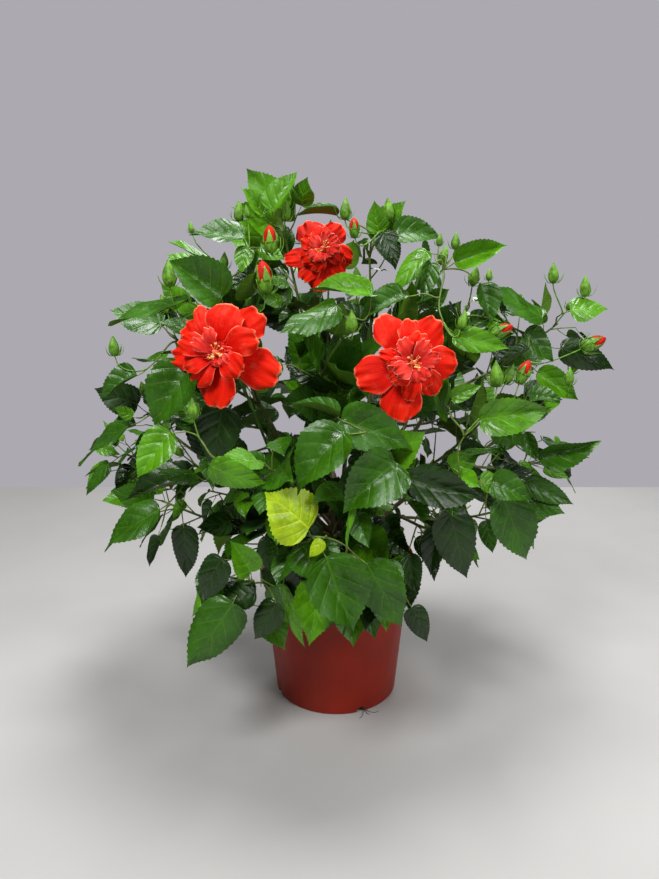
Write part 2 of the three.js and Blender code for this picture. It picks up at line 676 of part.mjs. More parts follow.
function potGeometry() {
  const { height, rimRadius, footRadius, wall } = POT;
  let pot = turned([
    [0, 0], [footRadius - 3, 0], [footRadius, 3], [WALL_TOP, LIP_FOOT], [WALL_TOP + POT.lipOut, LIP_FOOT],
    [rimRadius, height], [rimRadius - wall, height], [WALL_TOP - wall, LIP_FOOT - 3],
    [footRadius - wall, wall], [0, wall],
  ]);
  for (let k = 0; k < DRAIN.count; k++) {
    const slot = new THREE.BoxGeometry(24, DRAIN.width, DRAIN.height * 2);
    slot.translate(footRadius - 2, 0, 0);
    slot.rotateZ(radians(DRAIN.firstTurn + (360 * k) / DRAIN.count));
    pot = pot.subtract(solidOf(slot));
  }
  return geometryFrom(pot);
}

function mixGeometry() {
  const floor = POT.wall + MIX.gap;
  const insideAt = (z) => outsideAt(z) - POT.wall - MIX.gap - 0.4;
  return geometryFrom(
    turned([
      [0, floor], [insideAt(floor) - 1, floor], [insideAt(MIX.top), MIX.top],
      [STEM.footRadius + 6, MIX.top + MIX.crownRise], [0, MIX.top + MIX.crownRise],
    ]),
  );
}

// ---- the whole plant ----
function addNode(group, name, geometry, material) {
  const mesh = new THREE.Mesh(geometry, material);
  mesh.name = name;
  group.add(mesh);
}

const shrub = new THREE.Group();
addNode(shrub, "pot", potGeometry(), POT_PLASTIC);
addNode(shrub, "potting_mix", mixGeometry(), POTTING_MIX);
addNode(shrub, "stem", stemGeometry(), WOODY_BARK);

const plans = planBoughs();
const ends = planEnds(plans);
const limbs = plans.flatMap((plan) =>
  plan.route.slice(1).map((to, i) => ({ plan, from: plan.route[i], to, radius: BOUGH.rootRadius })),
);
limbs.push({ plan: null, from: stemCentre(MIX.top), to: stemCentre(STEM.top), radius: STEM.footRadius });
for (const bloom of ends.filter((e) => e.bloom)) {
  limbs.push({ plan: null, from: bloom.base, to: along(bloom.goal, bloomFace(bloom), -36), radius: 14 });
}
for (const plan of plans) {
  const radii = taper(plan.route, BOUGH.rootRadius, BOUGH.tipRadius);
  addNode(shrub, `bough_${plan.name}`, limb(plan.route, radii, BOUGH.sides, plan.rootWay), WOODY_BARK);
}
for (const end of ends) {
  if (end.bloom) {
    addNode(shrub, `bloom_${end.bloom}`, bloomGeometry(end), RED_PETAL);
  } else {
    addNode(shrub, `foliage_${end.mass}`, massGeometry(growMass(end, ends, limbs)), GREEN_LEAF);
  }
}
export default shrub;
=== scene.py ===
"""A double-flowered hibiscus shrub in a terracotta-coloured nursery pot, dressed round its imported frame."""

import functools
import math
from types import SimpleNamespace

import bmesh
import bpy
import numpy as np
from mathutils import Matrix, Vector, noise


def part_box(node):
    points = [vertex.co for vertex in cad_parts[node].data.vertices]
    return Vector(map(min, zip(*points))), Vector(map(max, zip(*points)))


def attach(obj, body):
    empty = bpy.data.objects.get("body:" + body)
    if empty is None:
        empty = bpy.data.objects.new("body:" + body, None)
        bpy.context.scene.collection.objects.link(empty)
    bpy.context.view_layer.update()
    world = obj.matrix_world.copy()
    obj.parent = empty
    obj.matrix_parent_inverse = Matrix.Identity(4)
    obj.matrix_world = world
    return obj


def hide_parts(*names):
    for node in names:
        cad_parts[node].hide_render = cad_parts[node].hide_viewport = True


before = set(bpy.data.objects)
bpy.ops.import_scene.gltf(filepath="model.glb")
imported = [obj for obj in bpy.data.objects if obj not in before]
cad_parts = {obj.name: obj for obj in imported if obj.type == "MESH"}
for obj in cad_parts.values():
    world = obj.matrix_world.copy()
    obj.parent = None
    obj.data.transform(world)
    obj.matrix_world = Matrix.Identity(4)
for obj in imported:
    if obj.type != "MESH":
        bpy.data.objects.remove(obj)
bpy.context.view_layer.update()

bl_info = {
    "name": "Potted hibiscus shrub",
    "version": (1, 0, 0),
    "blender": (4, 5, 0),
    "location": "3D View > Sidebar > Hibiscus",
    "description": "Grows the leaves, twigs and blooms of a potted hibiscus round its packed frame",
    "category": "Add Mesh",
}

MM = 0.001
POT_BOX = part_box("pot")
POT_HEIGHT = round(POT_BOX[1][2], 4)
RIM_RADIUS = round(POT_BOX[1][0], 4)


# ---- the growth rule, in millimetres, as the solids follow it ----
MIX_TOP = 208.0
STEM = SimpleNamespace(foot=20.0, waist=13.0, top_radius=10.0, top=306.0, lean=5.0, sides=12)
BOUGH = SimpleNamespace(root=4.2, tip=2.9, shortest=125.0, lowest=236.0, highest=300.0)
TWIG = SimpleNamespace(length=165.0, radius=2.5, side_radius=1.2, tip_share=0.62)
LEAF_LENGTH = 98.0
LEAF_WIDTH = 0.74
LEAF_STALK = 0.3
LEAF_FOLD = 0.07
LEAF_ARCH = 0.06
BUD_LENGTH = 27.0
BUD_STALK = 34.0
GAP = 0.3
SPACE_MARGIN = 1.0
LIMB_MARGIN = 1.6
LEAF_REACH = 92.0
CROWN_FOOT = np.array([0.0, 0.0, 300.0])
UP = np.array([0.0, 0.0, 1.0])
FRONT_LIGHT = np.array([0.0, -0.3, 0.0])
GOLDEN_TURN = 137.5
SIDE_TWIGS = (0.3, 0.62)
SIDE_ANGLE = 50.0
LEADER_LEAVES = 6
TRIES = 16


def mass(name, turn, rise, reach, buds):
    return {"mass": name, "turn": turn, "rise": rise, "reach": reach, "buds": buds}


def bloom(name, turn, rise, reach, size, face_turn, face_rise):
    row = {"bloom": name, "turn": turn, "rise": rise, "reach": reach, "buds": 0}
    return {**row, "size": size, "face_turn": face_turn, "face_rise": face_rise}


# Each bough and the ends that it forks into: compass turn, rise above level and reach from the crown's foot.
BOUGHS = {
    "top_left": [mass("top_left", -155, 79, 548, 2), bloom("top", -109, 81, 418, 109, -88, 12)],
    "top_right": [mass("top_middle", -50, 80, 508, 2), mass("top_right", -28, 67, 492, 2)],
    "upper_left": [mass("upper_left", -146, 62, 505, 2), mass("left_high", -168, 50, 474, 1)],
    "right_high": [mass("right_high", -27, 59, 488, 1), mass("right_tip", 1, 42, 552, 2)],
    "right_far": [mass("right_far", -8, 33, 500, 1), mass("right_out", 0, 15, 445, 0)],
    "left_middle": [mass("left_middle", -167, 32, 432, 1), mass("left_far", 178, 16, 445, 1)],
    "left_low": [mass("left_low", -163, 10, 372, 0), mass("left_under", -128, -9, 332, 0)],
    "front_left": [mass("left_front", -143, 26, 372, 1), bloom("left", -122, 46, 395, 144, -100, 14)],
    "front_high": [mass("front_high", -97, 55, 400, 1), bloom("right", -70, 47, 373, 130, -82, 12)],
    "right_middle": [mass("right_middle", -31, 38, 420, 1), mass("front_right", -53, 23, 378, 0)],
    "right_low": [mass("right_low", -21, 9, 374, 0), mass("right_under", -46, 8, 324, 0)],
    "front": [mass("front_left", -112, 30, 370, 0), mass("front_middle", -81, 28, 372, 0)],
    "front_low": [mass("front_low", -104, 9, 330, 0), mass("foot_right", -74, 1, 308, 0)],
    "back_left": [mass("back_left_high", 143, 55, 470, 1), mass("back_left", 150, 26, 440, 1)],
    "back": [mass("back_high", 95, 71, 520, 1), mass("back_middle", 98, 33, 430, 1)],
    "back_right": [mass("back_right_high", 36, 54, 480, 1), mass("back_right", 42, 24, 440, 1)],
    "back_low_left": [mass("back_low_left", 150, 0, 360, 0), mass("back_low", 108, 2, 350, 0)],
    "back_low_right": [mass("back_low_middle", 66, 2, 350, 0), mass("back_low_right", 22, 0, 365, 0)],
}
FOLIAGE_NODES = [f"foliage_{e['mass']}" for rows in BOUGHS.values() for e in rows if "mass" in e]
BLOOM_NODES = [f"bloom_{e['bloom']}" for rows in BOUGHS.values() for e in rows if "bloom" in e]

# Leaves that stand out at the front of the crown: heel, tip, width as a share of length, tone and how far the blade
# is rolled about its spine, in degrees.
SHOW_LEAVES = [
    # The lime-toned leaves here are partly their own new-leaf green and partly painted light, brightened as if light
    # shone through them from behind.
    ((-36, -285, 378), (-84, -300, 428), 1.02, "lime", 0),
    ((-15, -290, 344), (20, -305, 252), 0.76, "mid", 0),
    ((34, -280, 333), (79, -290, 245), 0.62, "mid", 20),
    ((-10, -262, 294), (-17, -268, 226), 0.7, "deep", 0),
    ((-136, -250, 264), (-199, -262, 172), 0.58, "mid", -18),
    ((-107, -240, 275), (-163, -235, 262), 0.66, "deep", 0),
    ((-80, -235, 258), (-116, -240, 199), 0.56, "deep", 0),
    ((-73, -225, 278), (-56, -240, 184), 0.3, "fresh", 55),
    ((-111, -255, 309), (-136, -262, 354), 0.72, "fresh", 0),
    ((-20, -290, 366), (-36, -297, 345), 0.62, "lime", 0),
    ((-149, -245, 324), (-184, -250, 262), 0.6, "deep", 0),
    ((67, -285, 462), (4, -312, 411), 0.78, "mid", -20),
    ((7, -285, 498), (-57, -305, 433), 0.7, "mid", 10),
    ((-153, -285, 457), (-86, -275, 427), 0.5, "fresh", 38),
    ((99, -225, 246), (123, -232, 193), 0.56, "deep", 0),
    ((-189, -215, 568), (-235, -235, 492), 0.72, "mid", 0),
    ((-208, -245, 490), (-248, -262, 436), 0.68, "fresh", 0),
    ((-190, -185, 648), (-290, -205, 622), 0.42, "mid", 35),
    ((-150, -165, 650), (-214, -185, 700), 0.72, "mid", -10),
    ((152, -150, 696), (218, -160, 719), 0.46, "fresh", 30),
    ((-89, -90, 765), (-60, -95, 820), 0.62, "fresh", -20),
    ((-1, -225, 643), (-72, -250, 615), 0.6, "mid", 15),
    ((2, -265, 509), (86, -290, 484), 0.62, "mid", 20),
    ((178, -225, 501), (270, -235, 513), 0.5, "fresh", 28),
    ((143, -235, 383), (168, -245, 286), 0.56, "deep", 0),
    ((219, -200, 392), (263, -205, 296), 0.58, "mid", 12),
    ((327, -60, 576), (416, -70, 551), 0.46, "deep", 30),
    ((290, -110, 427), (378, -120, 448), 0.42, "mid", 38),
    ((-293, -120, 473), (-380, -125, 434), 0.48, "mid", 30),
    ((-237, -200, 374), (-320, -215, 332), 0.56, "mid", 15),
    ((86, -260, 435), (180, -250, 406), 0.5, "deep", 22),
    ((-124, -120, 728), (-197, -130, 735), 0.6, "mid", 12),
    ((43, -190, 653), (-32, -215, 668), 0.6, "fresh", 20),
    ((263, -95, 601), (310, -105, 566), 0.66, "mid", 10),
    ((284, -110, 622), (204, -120, 668), 0.56, "mid", 20),
    ((193, -125, 668), (208, -135, 614), 0.7, "mid", -20),
    ((338, -60, 631), (388, -70, 639), 0.82, "fresh", 0),
    ((264, -120, 579), (213, -130, 559), 0.3, "deep", 30),
    ((288, -85, 544), (349, -95, 505), 0.5, "fresh", 20),
    ((143, -215, 527), (179, -225, 545), 0.5, "fresh", 20),
    ((147, -190, 603), (219, -200, 589), 0.44, "fresh", 25),
    ((223, -185, 451), (158, -195, 448), 0.3, "mid", 40),
    ((227, -150, 488), (228, -160, 439), 0.78, "mid", 0),
    ((264, -120, 461), (283, -130, 422), 0.52, "mid", 25),
    ((230, -110, 399), (286, -120, 403), 0.5, "deep", 25),
    ((275, -100, 386), (348, -110, 352), 0.42, "mid", 30),
    ((315, -60, 394), (352, -70, 381), 0.42, "fresh", 20),
    ((210, -150, 342), (221, -160, 296), 0.66, "mid", -15),
    ((134, -200, 348), (122, -210, 281), 0.5, "deep", 10),
    ((94, -215, 318), (105, -225, 264), 0.52, "deep", 0),
    ((77, -90, 737), (143, -100, 738), 0.6, "mid", 15),
    ((62, -105, 736), (83, -115, 690), 0.7, "deep", 0),
    ((117, -140, 710), (68, -150, 657), 0.46, "fresh", 10),
    ((0, -80, 760), (-55, -90, 773), 0.34, "mid", 35),
    ((57, -80, 737), (50, -90, 779), 0.7, "fresh", 0),
    ((121, -150, 695), (106, -160, 644), 0.46, "mid", -20),
    ((87, -170, 653), (25, -180, 626), 0.56, "mid", 15),
    ((-103, -70, 761), (-130, -80, 800), 0.56, "fresh", 10),
    ((-121, -130, 716), (-128, -140, 681), 0.72, "fresh", 0),
    ((-101, -150, 714), (-69, -160, 699), 0.6, "fresh", 15),
    ((-117, -130, 677), (-145, -140, 668), 0.6, "deep", 10),
    ((-280, -115, 543), (-337, -125, 517), 0.6, "mid", 20),
    ((-289, -120, 485), (-310, -130, 501), 0.7, "fresh", 0),
    ((-346, -60, 402), (-391, -70, 359), 0.5, "mid", 20),
    ((-356, -70, 431), (-324, -80, 420), 0.6, "fresh", 15),
    ((-198, -150, 400), (-299, -160, 386), 0.44, "deep", 25),
    ((-211, -170, 377), (-227, -180, 356), 0.6, "fresh", 0),
    ((-260, -130, 312), (-277, -140, 267), 0.4, "deep", 15),
    ((-214, -165, 339), (-215, -175, 260), 0.5, "deep", 10),
    ((-148, -200, 513), (-167, -210, 433), 0.72, "deep", 0),
    ((-2, -270, 513), (-49, -280, 541), 0.34, "mid", 35),
    ((17, -285, 411), (-2, -295, 361), 0.2, "fresh", 40),
    ((-92, -200, 337), (-88, -210, 284), 0.6, "deep", 0),
    ((-52, -225, 333), (-58, -235, 255), 0.66, "deep", 0),
]

# Buds that stand out: foot of the calyx, tip, and whether the furled petals show.
SHOW_BUDS = [
    ((352, -75, 576), (387, -75, 592), True),
    ((198, -170, 602), (227, -172, 615), True),
    ((234, -190, 541), (246, -190, 572), True),
    ((-86, -150, 704), (-89, -150, 742), True),
    ((-92, -170, 654), (-97, -172, 697), True),
    ((200, -215, 541), (197, -215, 575), False),
    ((-212, -190, 664), (-212, -190, 698), False),
    ((-308, -120, 570), (-309, -120, 599), False),
    ((310, -60, 668), (309, -60, 698), False),
    ((361, -50, 649), (359, -50, 680), False),
    ((10, -90, 753), (11, -90, 783), False),
    ((71, -80, 752), (69, -80, 784), False),
    ((-136, -90, 751), (-134, -90, 779), False),
    ((-72, -90, 751), (-70, -90, 779), False),
    ((162, -90, 714), (163, -90, 738), False),
    ((323, -120, 529), (323, -120, 555), False),
    ((17, -225, 609), (16, -225, 638), False),
    ((-176, -255, 508), (-177, -255, 534), False),
    ((206, -110, 672), (207, -110, 689), False),
    ((155, -195, 612), (160, -195, 636), False),
    ((-196, -110, 734), (-198, -110, 750), False),
    ((-123, -90, 756), (-125, -90, 773), False),
    ((138, -100, 718), (140, -100, 736), False),
    ((23, -120, 727), (21, -120, 754), True),
]


# Gaps right through the crown, as someone in front of it sees them: across and up in the plane that stands this far
# behind the origin, and the radius that is kept open there.
VIEWER = np.array([-11.0, -1090.0, 669.0])
GAP_PLANE = -100.0
OPENINGS = [
    (-275, 478, 16), (-326, 430, 12), (-220, 420, 16), (-225, 451, 7), (-170, 490, 7), (-125, 524, 7),
    (-80, 470, 11), (-111, 456, 6), (-119, 441, 6), (-213, 358, 9), (-255, 344, 11), (-213, 330, 12),
    (-198, 375, 7), (-170, 365, 8), (-212, 272, 19), (-255, 282, 9), (-165, 240, 9), (-130, 248, 16),
    (-117, 280, 12), (-128, 212, 10), (-150, 160, 24), (-120, 190, 8), (-300, 250, 26), (-330, 215, 50),
    (-270, 180, 45), (-350, 290, 14), (-340, 330, 16), (-395, 400, 20), (-340, 460, 5), (175, 668, 16),
    (182, 640, 9), (262, 612, 14), (318, 622, 12), (345, 612, 10), (305, 598, 7), (212, 562, 9),
    (312, 545, 9), (365, 530, 24), (245, 519, 6), (188, 538, 6), (288, 462, 12), (318, 470, 16),
    (350, 490, 22), (216, 457, 11), (170, 484, 6), (106, 469, 6), (146, 450, 7), (150, 422, 7),
    (214, 414, 9), (262, 430, 6), (352, 412, 8), (322, 385, 6), (372, 385, 18), (214, 336, 12),
    (224, 284, 15), (165, 256, 9), (172, 228, 16), (150, 190, 24), (215, 215, 30), (262, 285, 8),
    (258, 232, 20), (325, 300, 24), (65, 365, 7), (100, 346, 7), (106, 310, 7), (122, 306, 8),
    (146, 346, 8), (-15, 312, 6), (5, 425, 7), (-150, 690, 9), (-60, 670, 8), (-60, 655, 5), (-185, 648, 7),
    (-100, 600, 9), (-95, 580, 6), (-275, 580, 14), (-240, 600, 7), (-280, 495, 6), (60, 705, 9),
    (35, 672, 9), (88, 668, 6), (150, 700, 12), (120, 668, 5), (-150, 760, 10), (-165, 775, 14),
    (-45, 735, 6), (50, 780, 3), (0, 790, 8), (25, 785, 8), (110, 770, 8), (250, 705, 20), (275, 580, 5),
    (385, 600, 16),
]


def mix(a, b, share):
    return a + (b - a) * share


def clamp(value, low=0.0, high=1.0):
    return max(low, min(high, value))


def dots(a, b):
    return np.sum(a * b, axis=-1)


def cross(a, b):
    ax, ay, az = a[..., 0], a[..., 1], a[..., 2]
    bx, by, bz = b[..., 0], b[..., 1], b[..., 2]
    return np.stack([ay * bz - az * by, az * bx - ax * bz, ax * by - ay * bx], axis=-1)


def unit(v):
    return v / np.sqrt(np.sum(v * v, axis=-1, keepdims=True))


def length_of(v):
    return float(np.sqrt(np.dot(v, v)))


def dice(seed):
    """A repeatable stream of numbers from 0 to 1."""
    state = seed * 3001 + 17

    def roll():
        nonlocal state
        state = (state * 16807) % 2147483647
        return state / 2147483647

    for _ in range(5):
        roll()
    return roll


def heading(turn, rise):
    level = math.cos(math.radians(rise))
    turned = math.radians(turn)
    return np.array([level * math.cos(turned), level * math.sin(turned), math.sin(math.radians(rise))])


def square_to(direction):
    """Two unit vectors square to a direction, the first as near to level as it can be."""
    first = cross(UP, direction)
    if length_of(first) < 1e-3:
        first = np.array([1.0, 0.0, 0.0])
    first = unit(first)
    return first, unit(cross(direction, first))


def outward_of(point):
    level = np.array([point[0], point[1], 0.0])
    return np.array([0.0, -1.0, 0.0]) if length_of(level) < 20 else unit(level)


def bezier(a, b, c, d, steps):
    t = np.linspace(0, 1, steps + 1)[:, None]
    return a * (1 - t) ** 3 + 3 * b * t * (1 - t) ** 2 + 3 * c * t**2 * (1 - t) + d * t**3


def resampled(route, steps):
    """A smooth line through a route's points, with this many steps from one point to the next."""
    route = np.asarray(route, float)
    padded = np.vstack([2 * route[0] - route[1], route, 2 * route[-1] - route[-2]])
    made = [route[0]]
    for i in range(len(route) - 1):
        p0, p1, p2, p3 = padded[i : i + 4]
        for k in range(1, steps + 1):
            t = k / steps
            made.append(
                0.5 * (2 * p1 + (p2 - p0) * t + (2 * p0 - 5 * p1 + 4 * p2 - p3) * t**2
                       + (3 * p1 - p0 - 3 * p2 + p3) * t**3)
            )
    return np.array(made)


def stem_share(z):
    return (z - MIX_TOP) / (STEM.top - MIX_TOP)


def stem_centre(z):
    return np.array([STEM.lean * stem_share(z) ** 2, 0.0, z])


def stem_radius(z):
    share = stem_share(z)
    flare = (STEM.foot - STEM.waist) * max(0.0, 1 - share / 0.22) ** 2
    return mix(STEM.waist, STEM.top_radius, share) + flare


def stem_reach(z, level):
    step = 2 * math.pi / STEM.sides
    turn = math.atan2(level[1], level[0]) % step
    return stem_radius(z) * math.cos(min(turn, step - turn))


def plan_boughs():
    """Where each bough leaves the stem, how it bends and where it forks. Steep boughs leave high on the stem."""
    plans = []
    for name, rows in BOUGHS.items():
        plan = SimpleNamespace(name=name, rows=rows)
        plan.middle = unit(sum(heading(row["turn"], row["rise"]) for row in rows))
        reach = sum(row["reach"] + (60 if "bloom" in row else 0) for row in rows) / len(rows)
        plan.fork = CROWN_FOOT + plan.middle * max(BOUGH.shortest, reach - LEAF_REACH - TWIG.length)
        plans.append(plan)
    order = sorted(plans, key=lambda plan: plan.middle[2])
    for rank, plan in enumerate(order):
        height = mix(BOUGH.lowest, BOUGH.highest, rank / (len(order) - 1))
        level = outward_of(plan.middle * 1000)
        leave = unit(level + UP * mix(0.15, 1.1, max(0.0, plan.middle[2])))
        root = stem_centre(height) + level * (stem_reach(height - BOUGH.root, level) + GAP)
        far = length_of(root - plan.fork)
        plan.bends = (root, root + leave * far * 0.36, plan.fork - plan.middle * far * 0.34, plan.fork)
        plan.route = bezier(*plan.bends, 3)
        plan.root_way = level
        plan.end_way = unit(plan.fork - plan.route[-2])
    return plans


def plan_ends(plans):
    """Each end starts beside the fork's middle, on its own side, just clear of the bough's end face."""
    ends = [SimpleNamespace(plan=plan, **row) for plan in plans for row in plan.rows]
    for index, end in enumerate(ends):
        end.seed = index + 1
        end.is_bloom = hasattr(end, "bloom")
        reach = end.reach if end.is_bloom else end.reach - LEAF_REACH
        end.goal = CROWN_FOOT + heading(end.turn, end.rise) * reach
        sideways = end.goal - end.plan.fork
        sideways = unit(sideways - end.plan.end_way * np.dot(sideways, end.plan.end_way))
        end.base = end.plan.fork + sideways * (TWIG.radius + 0.1) + end.plan.end_way * GAP
        if end.is_bloom:
            end.face = heading(end.face_turn, end.face_rise)
    return ends


# ---- distances, for keeping leaves out of limbs and in their own space ----
def line_gap(points, a, b):
    way = b - a
    share = np.clip(dots(points - a, way) / dots(way, way), 0, 1)
    gap = points - a - way * share[..., None]
    return np.sqrt(dots(gap, gap))


def segment_gap(a, b, c, d):
    u, v, w = b - a, d - c, a - c
    uu, uv, vv, uw, vw = dots(u, u), dots(u, v), dots(v, v), dots(u, w), dots(v, w)
    spread = uu * vv - uv * uv
    flat = spread < 1e-9
    first = np.where(flat, 0, np.clip((uv * vw - vv * uw) / np.where(flat, 1, spread), 0, 1))
    second = np.clip((uv * first + vw) / vv, 0, 1)
    third = np.clip((uv * second - uw) / uu, 0, 1)
    gap = a + u * third[..., None] - c - v * second[..., None]
    return np.sqrt(dots(gap, gap))


def is_within(point, corners, normal):
    """True where a point lies over a triangle, seen square to it."""
    inside = True
    for i in range(3):
        start, stop = corners[i], corners[(i + 1) % 3]
        inside = inside & (dots(cross(stop - start, point - start), normal) >= 0)
    return inside


def pierces(a, b, triangles):
    """True where a line goes through a triangle."""
    corners = [triangles[..., i, :] for i in range(3)]
    normal = cross(corners[1] - corners[0], corners[2] - corners[0])
    from_a, from_b = dots(a - corners[0], normal), dots(b - corners[0], normal)
    crossing = from_a * from_b < 0
    share = from_a / np.where(crossing, from_a - from_b, 1)
    return crossing & is_within(a + (b - a) * share[..., None], corners, normal)


def triangle_gap(a, b, triangles):
    """The gap from a line to a triangle, 0 where it goes through."""
    corners = [triangles[..., i, :] for i in range(3)]
    normal = unit(cross(corners[1] - corners[0], corners[2] - corners[0]))
    gap = segment_gap(a, b, corners[0], corners[1])
    gap = np.minimum(gap, segment_gap(a, b, corners[1], corners[2]))
    gap = np.minimum(gap, segment_gap(a, b, corners[2], corners[0]))
    for point in (a, b):
        height = np.abs(dots(point - corners[0], normal))
        gap = np.where(is_within(point, corners, normal), np.minimum(gap, height), gap)
    return np.where(pierces(a, b, triangles), 0, gap)


# ---- one leaf's plane and rough outline ----
HALF_BLADE = ((0.17, 0.82), (0.52, 0.95))
BLADE_MIDDLE = 0.42
PLAIN_BEND = SimpleNamespace(fold=LEAF_FOLD, drop=0.0, arch=LEAF_ARCH, twist=0.0)
BLADE_GAP = 2.6
# No part of a blade is further from its middle than this share of its length.
BLADE_REACH = 0.75


def own_bend(roll):
    """How far one blade is folded along its midrib, drops at its margins and arches towards its tip."""
    return SimpleNamespace(
        fold=mix(0.03, 0.36, roll() ** 1.4),
        drop=mix(0.04, 0.14, roll()),
        arch=mix(0.0, 0.28, roll() ** 1.3),
        twist=0.7 * (roll() - 0.5),
    )


class Leaf:
    """A blade that hangs from the end of its stalk and turns its upper side to the light."""

    def __init__(self, node, heel, spine, light, size, width=LEAF_WIDTH, bend=None):
        self.node, self.heel, self.spine, self.size, self.width = node, heel, spine, size, width
        self.bend = bend or PLAIN_BEND
        self.normal = unit(light - spine * np.dot(light, spine))
        self.side = cross(self.normal, spine)
        rough = [(u, -v) for u, v in HALF_BLADE] + [(1, 0)] + [(u, v) for u, v in reversed(HALF_BLADE)]
        self.edge = np.array([self.at(u, v) for u, v in rough])
        self.middle = self.at(BLADE_MIDDLE, 0)
        outline = np.vstack([heel, self.edge])
        self.triangles = np.array(
            [[self.middle, outline[i], outline[(i + 1) % len(outline)]] for i in range(len(outline))]
        )
        self.stalk_start = node
        self.share = 1.0

    def at(self, u, v):
        lift = self.size * (self.bend.fold * abs(v) - self.bend.drop * v * v - self.bend.arch * u * u)
        across = self.size * self.width / 2 * v
        turn = self.bend.twist * u
        across, lift = across * math.cos(turn) - lift * math.sin(turn), across * math.sin(turn) + lift * math.cos(turn)
        return self.heel + self.spine * self.size * u + self.side * across + self.normal * lift


def leaf_on(node, stalk_way, size, droop, light, bend):
    heel = node + stalk_way * size * LEAF_STALK
    spine = unit(stalk_way * 0.75 + outward_of(node) * 0.4 - UP * droop)
    return Leaf(node, heel, spine, light, size, LEAF_WIDTH, bend)


def show_leaf(heel, tip, width, roll, bend):
    """A leaf between two given points, rolled about its spine."""
    heel, tip = np.array(heel, float), np.array(tip, float)
    spine = unit(tip - heel)
    light = np.array([0.0, -0.75, 0.55])
    light = unit(light - spine * np.dot(light, spine))
    turned = light * math.cos(math.radians(roll)) + cross(spine, light) * math.sin(math.radians(roll))
    return Leaf(heel, heel, spine, turned, length_of(tip - heel), width, bend)


GAP_RADII = np.array([row[2] for row in OPENINGS], float)
GAP_MIDDLES = np.array([(across, GAP_PLANE, up) for across, up, _ in OPENINGS])
GAP_ENDS = VIEWER + (GAP_MIDDLES - VIEWER) * 1.6


def crosses(leaf, others, gap):
    """True where a leaf's blade or stalk goes through another's, or their blades come closer than a gap."""
    if not others:
        return False
    away = np.array([other.middle for other in others]) - leaf.middle
    sizes = np.array([other.size for other in others]) + leaf.size
    near = [others[i] for i in np.nonzero(np.sqrt(dots(away, away)) <= sizes * 0.7)[0]]
    if not near:
        return False
    blades = np.array([other.triangles for other in near])
    nodes, heels = (np.array([getattr(other, key) for other in near]) for key in ("node", "heel"))
    if np.any(triangle_gap(leaf.node, leaf.heel + 1e-6, blades) < 1.5):
        return True
    if np.any(triangle_gap(nodes[:, None], heels[:, None] + 1e-6, leaf.triangles[None]) < 1.5):
        return True
    mine = leaf.triangles
    starts, stops = mine.reshape(-1, 3), np.roll(mine, -1, axis=1).reshape(-1, 3)
    if np.any(pierces(starts[:, None, None], stops[:, None, None], blades[None])):
        return True
    others_starts, others_stops = blades.reshape(-1, 3), np.roll(blades, -1, axis=2).reshape(-1, 3)
    if np.any(pierces(others_starts[:, None], others_stops[:, None], mine[None])):
        return True
    return gap > 0 and bool(
        np.any(triangle_gap(starts[:, None, None], stops[:, None, None], blades[None]) < gap)
    )


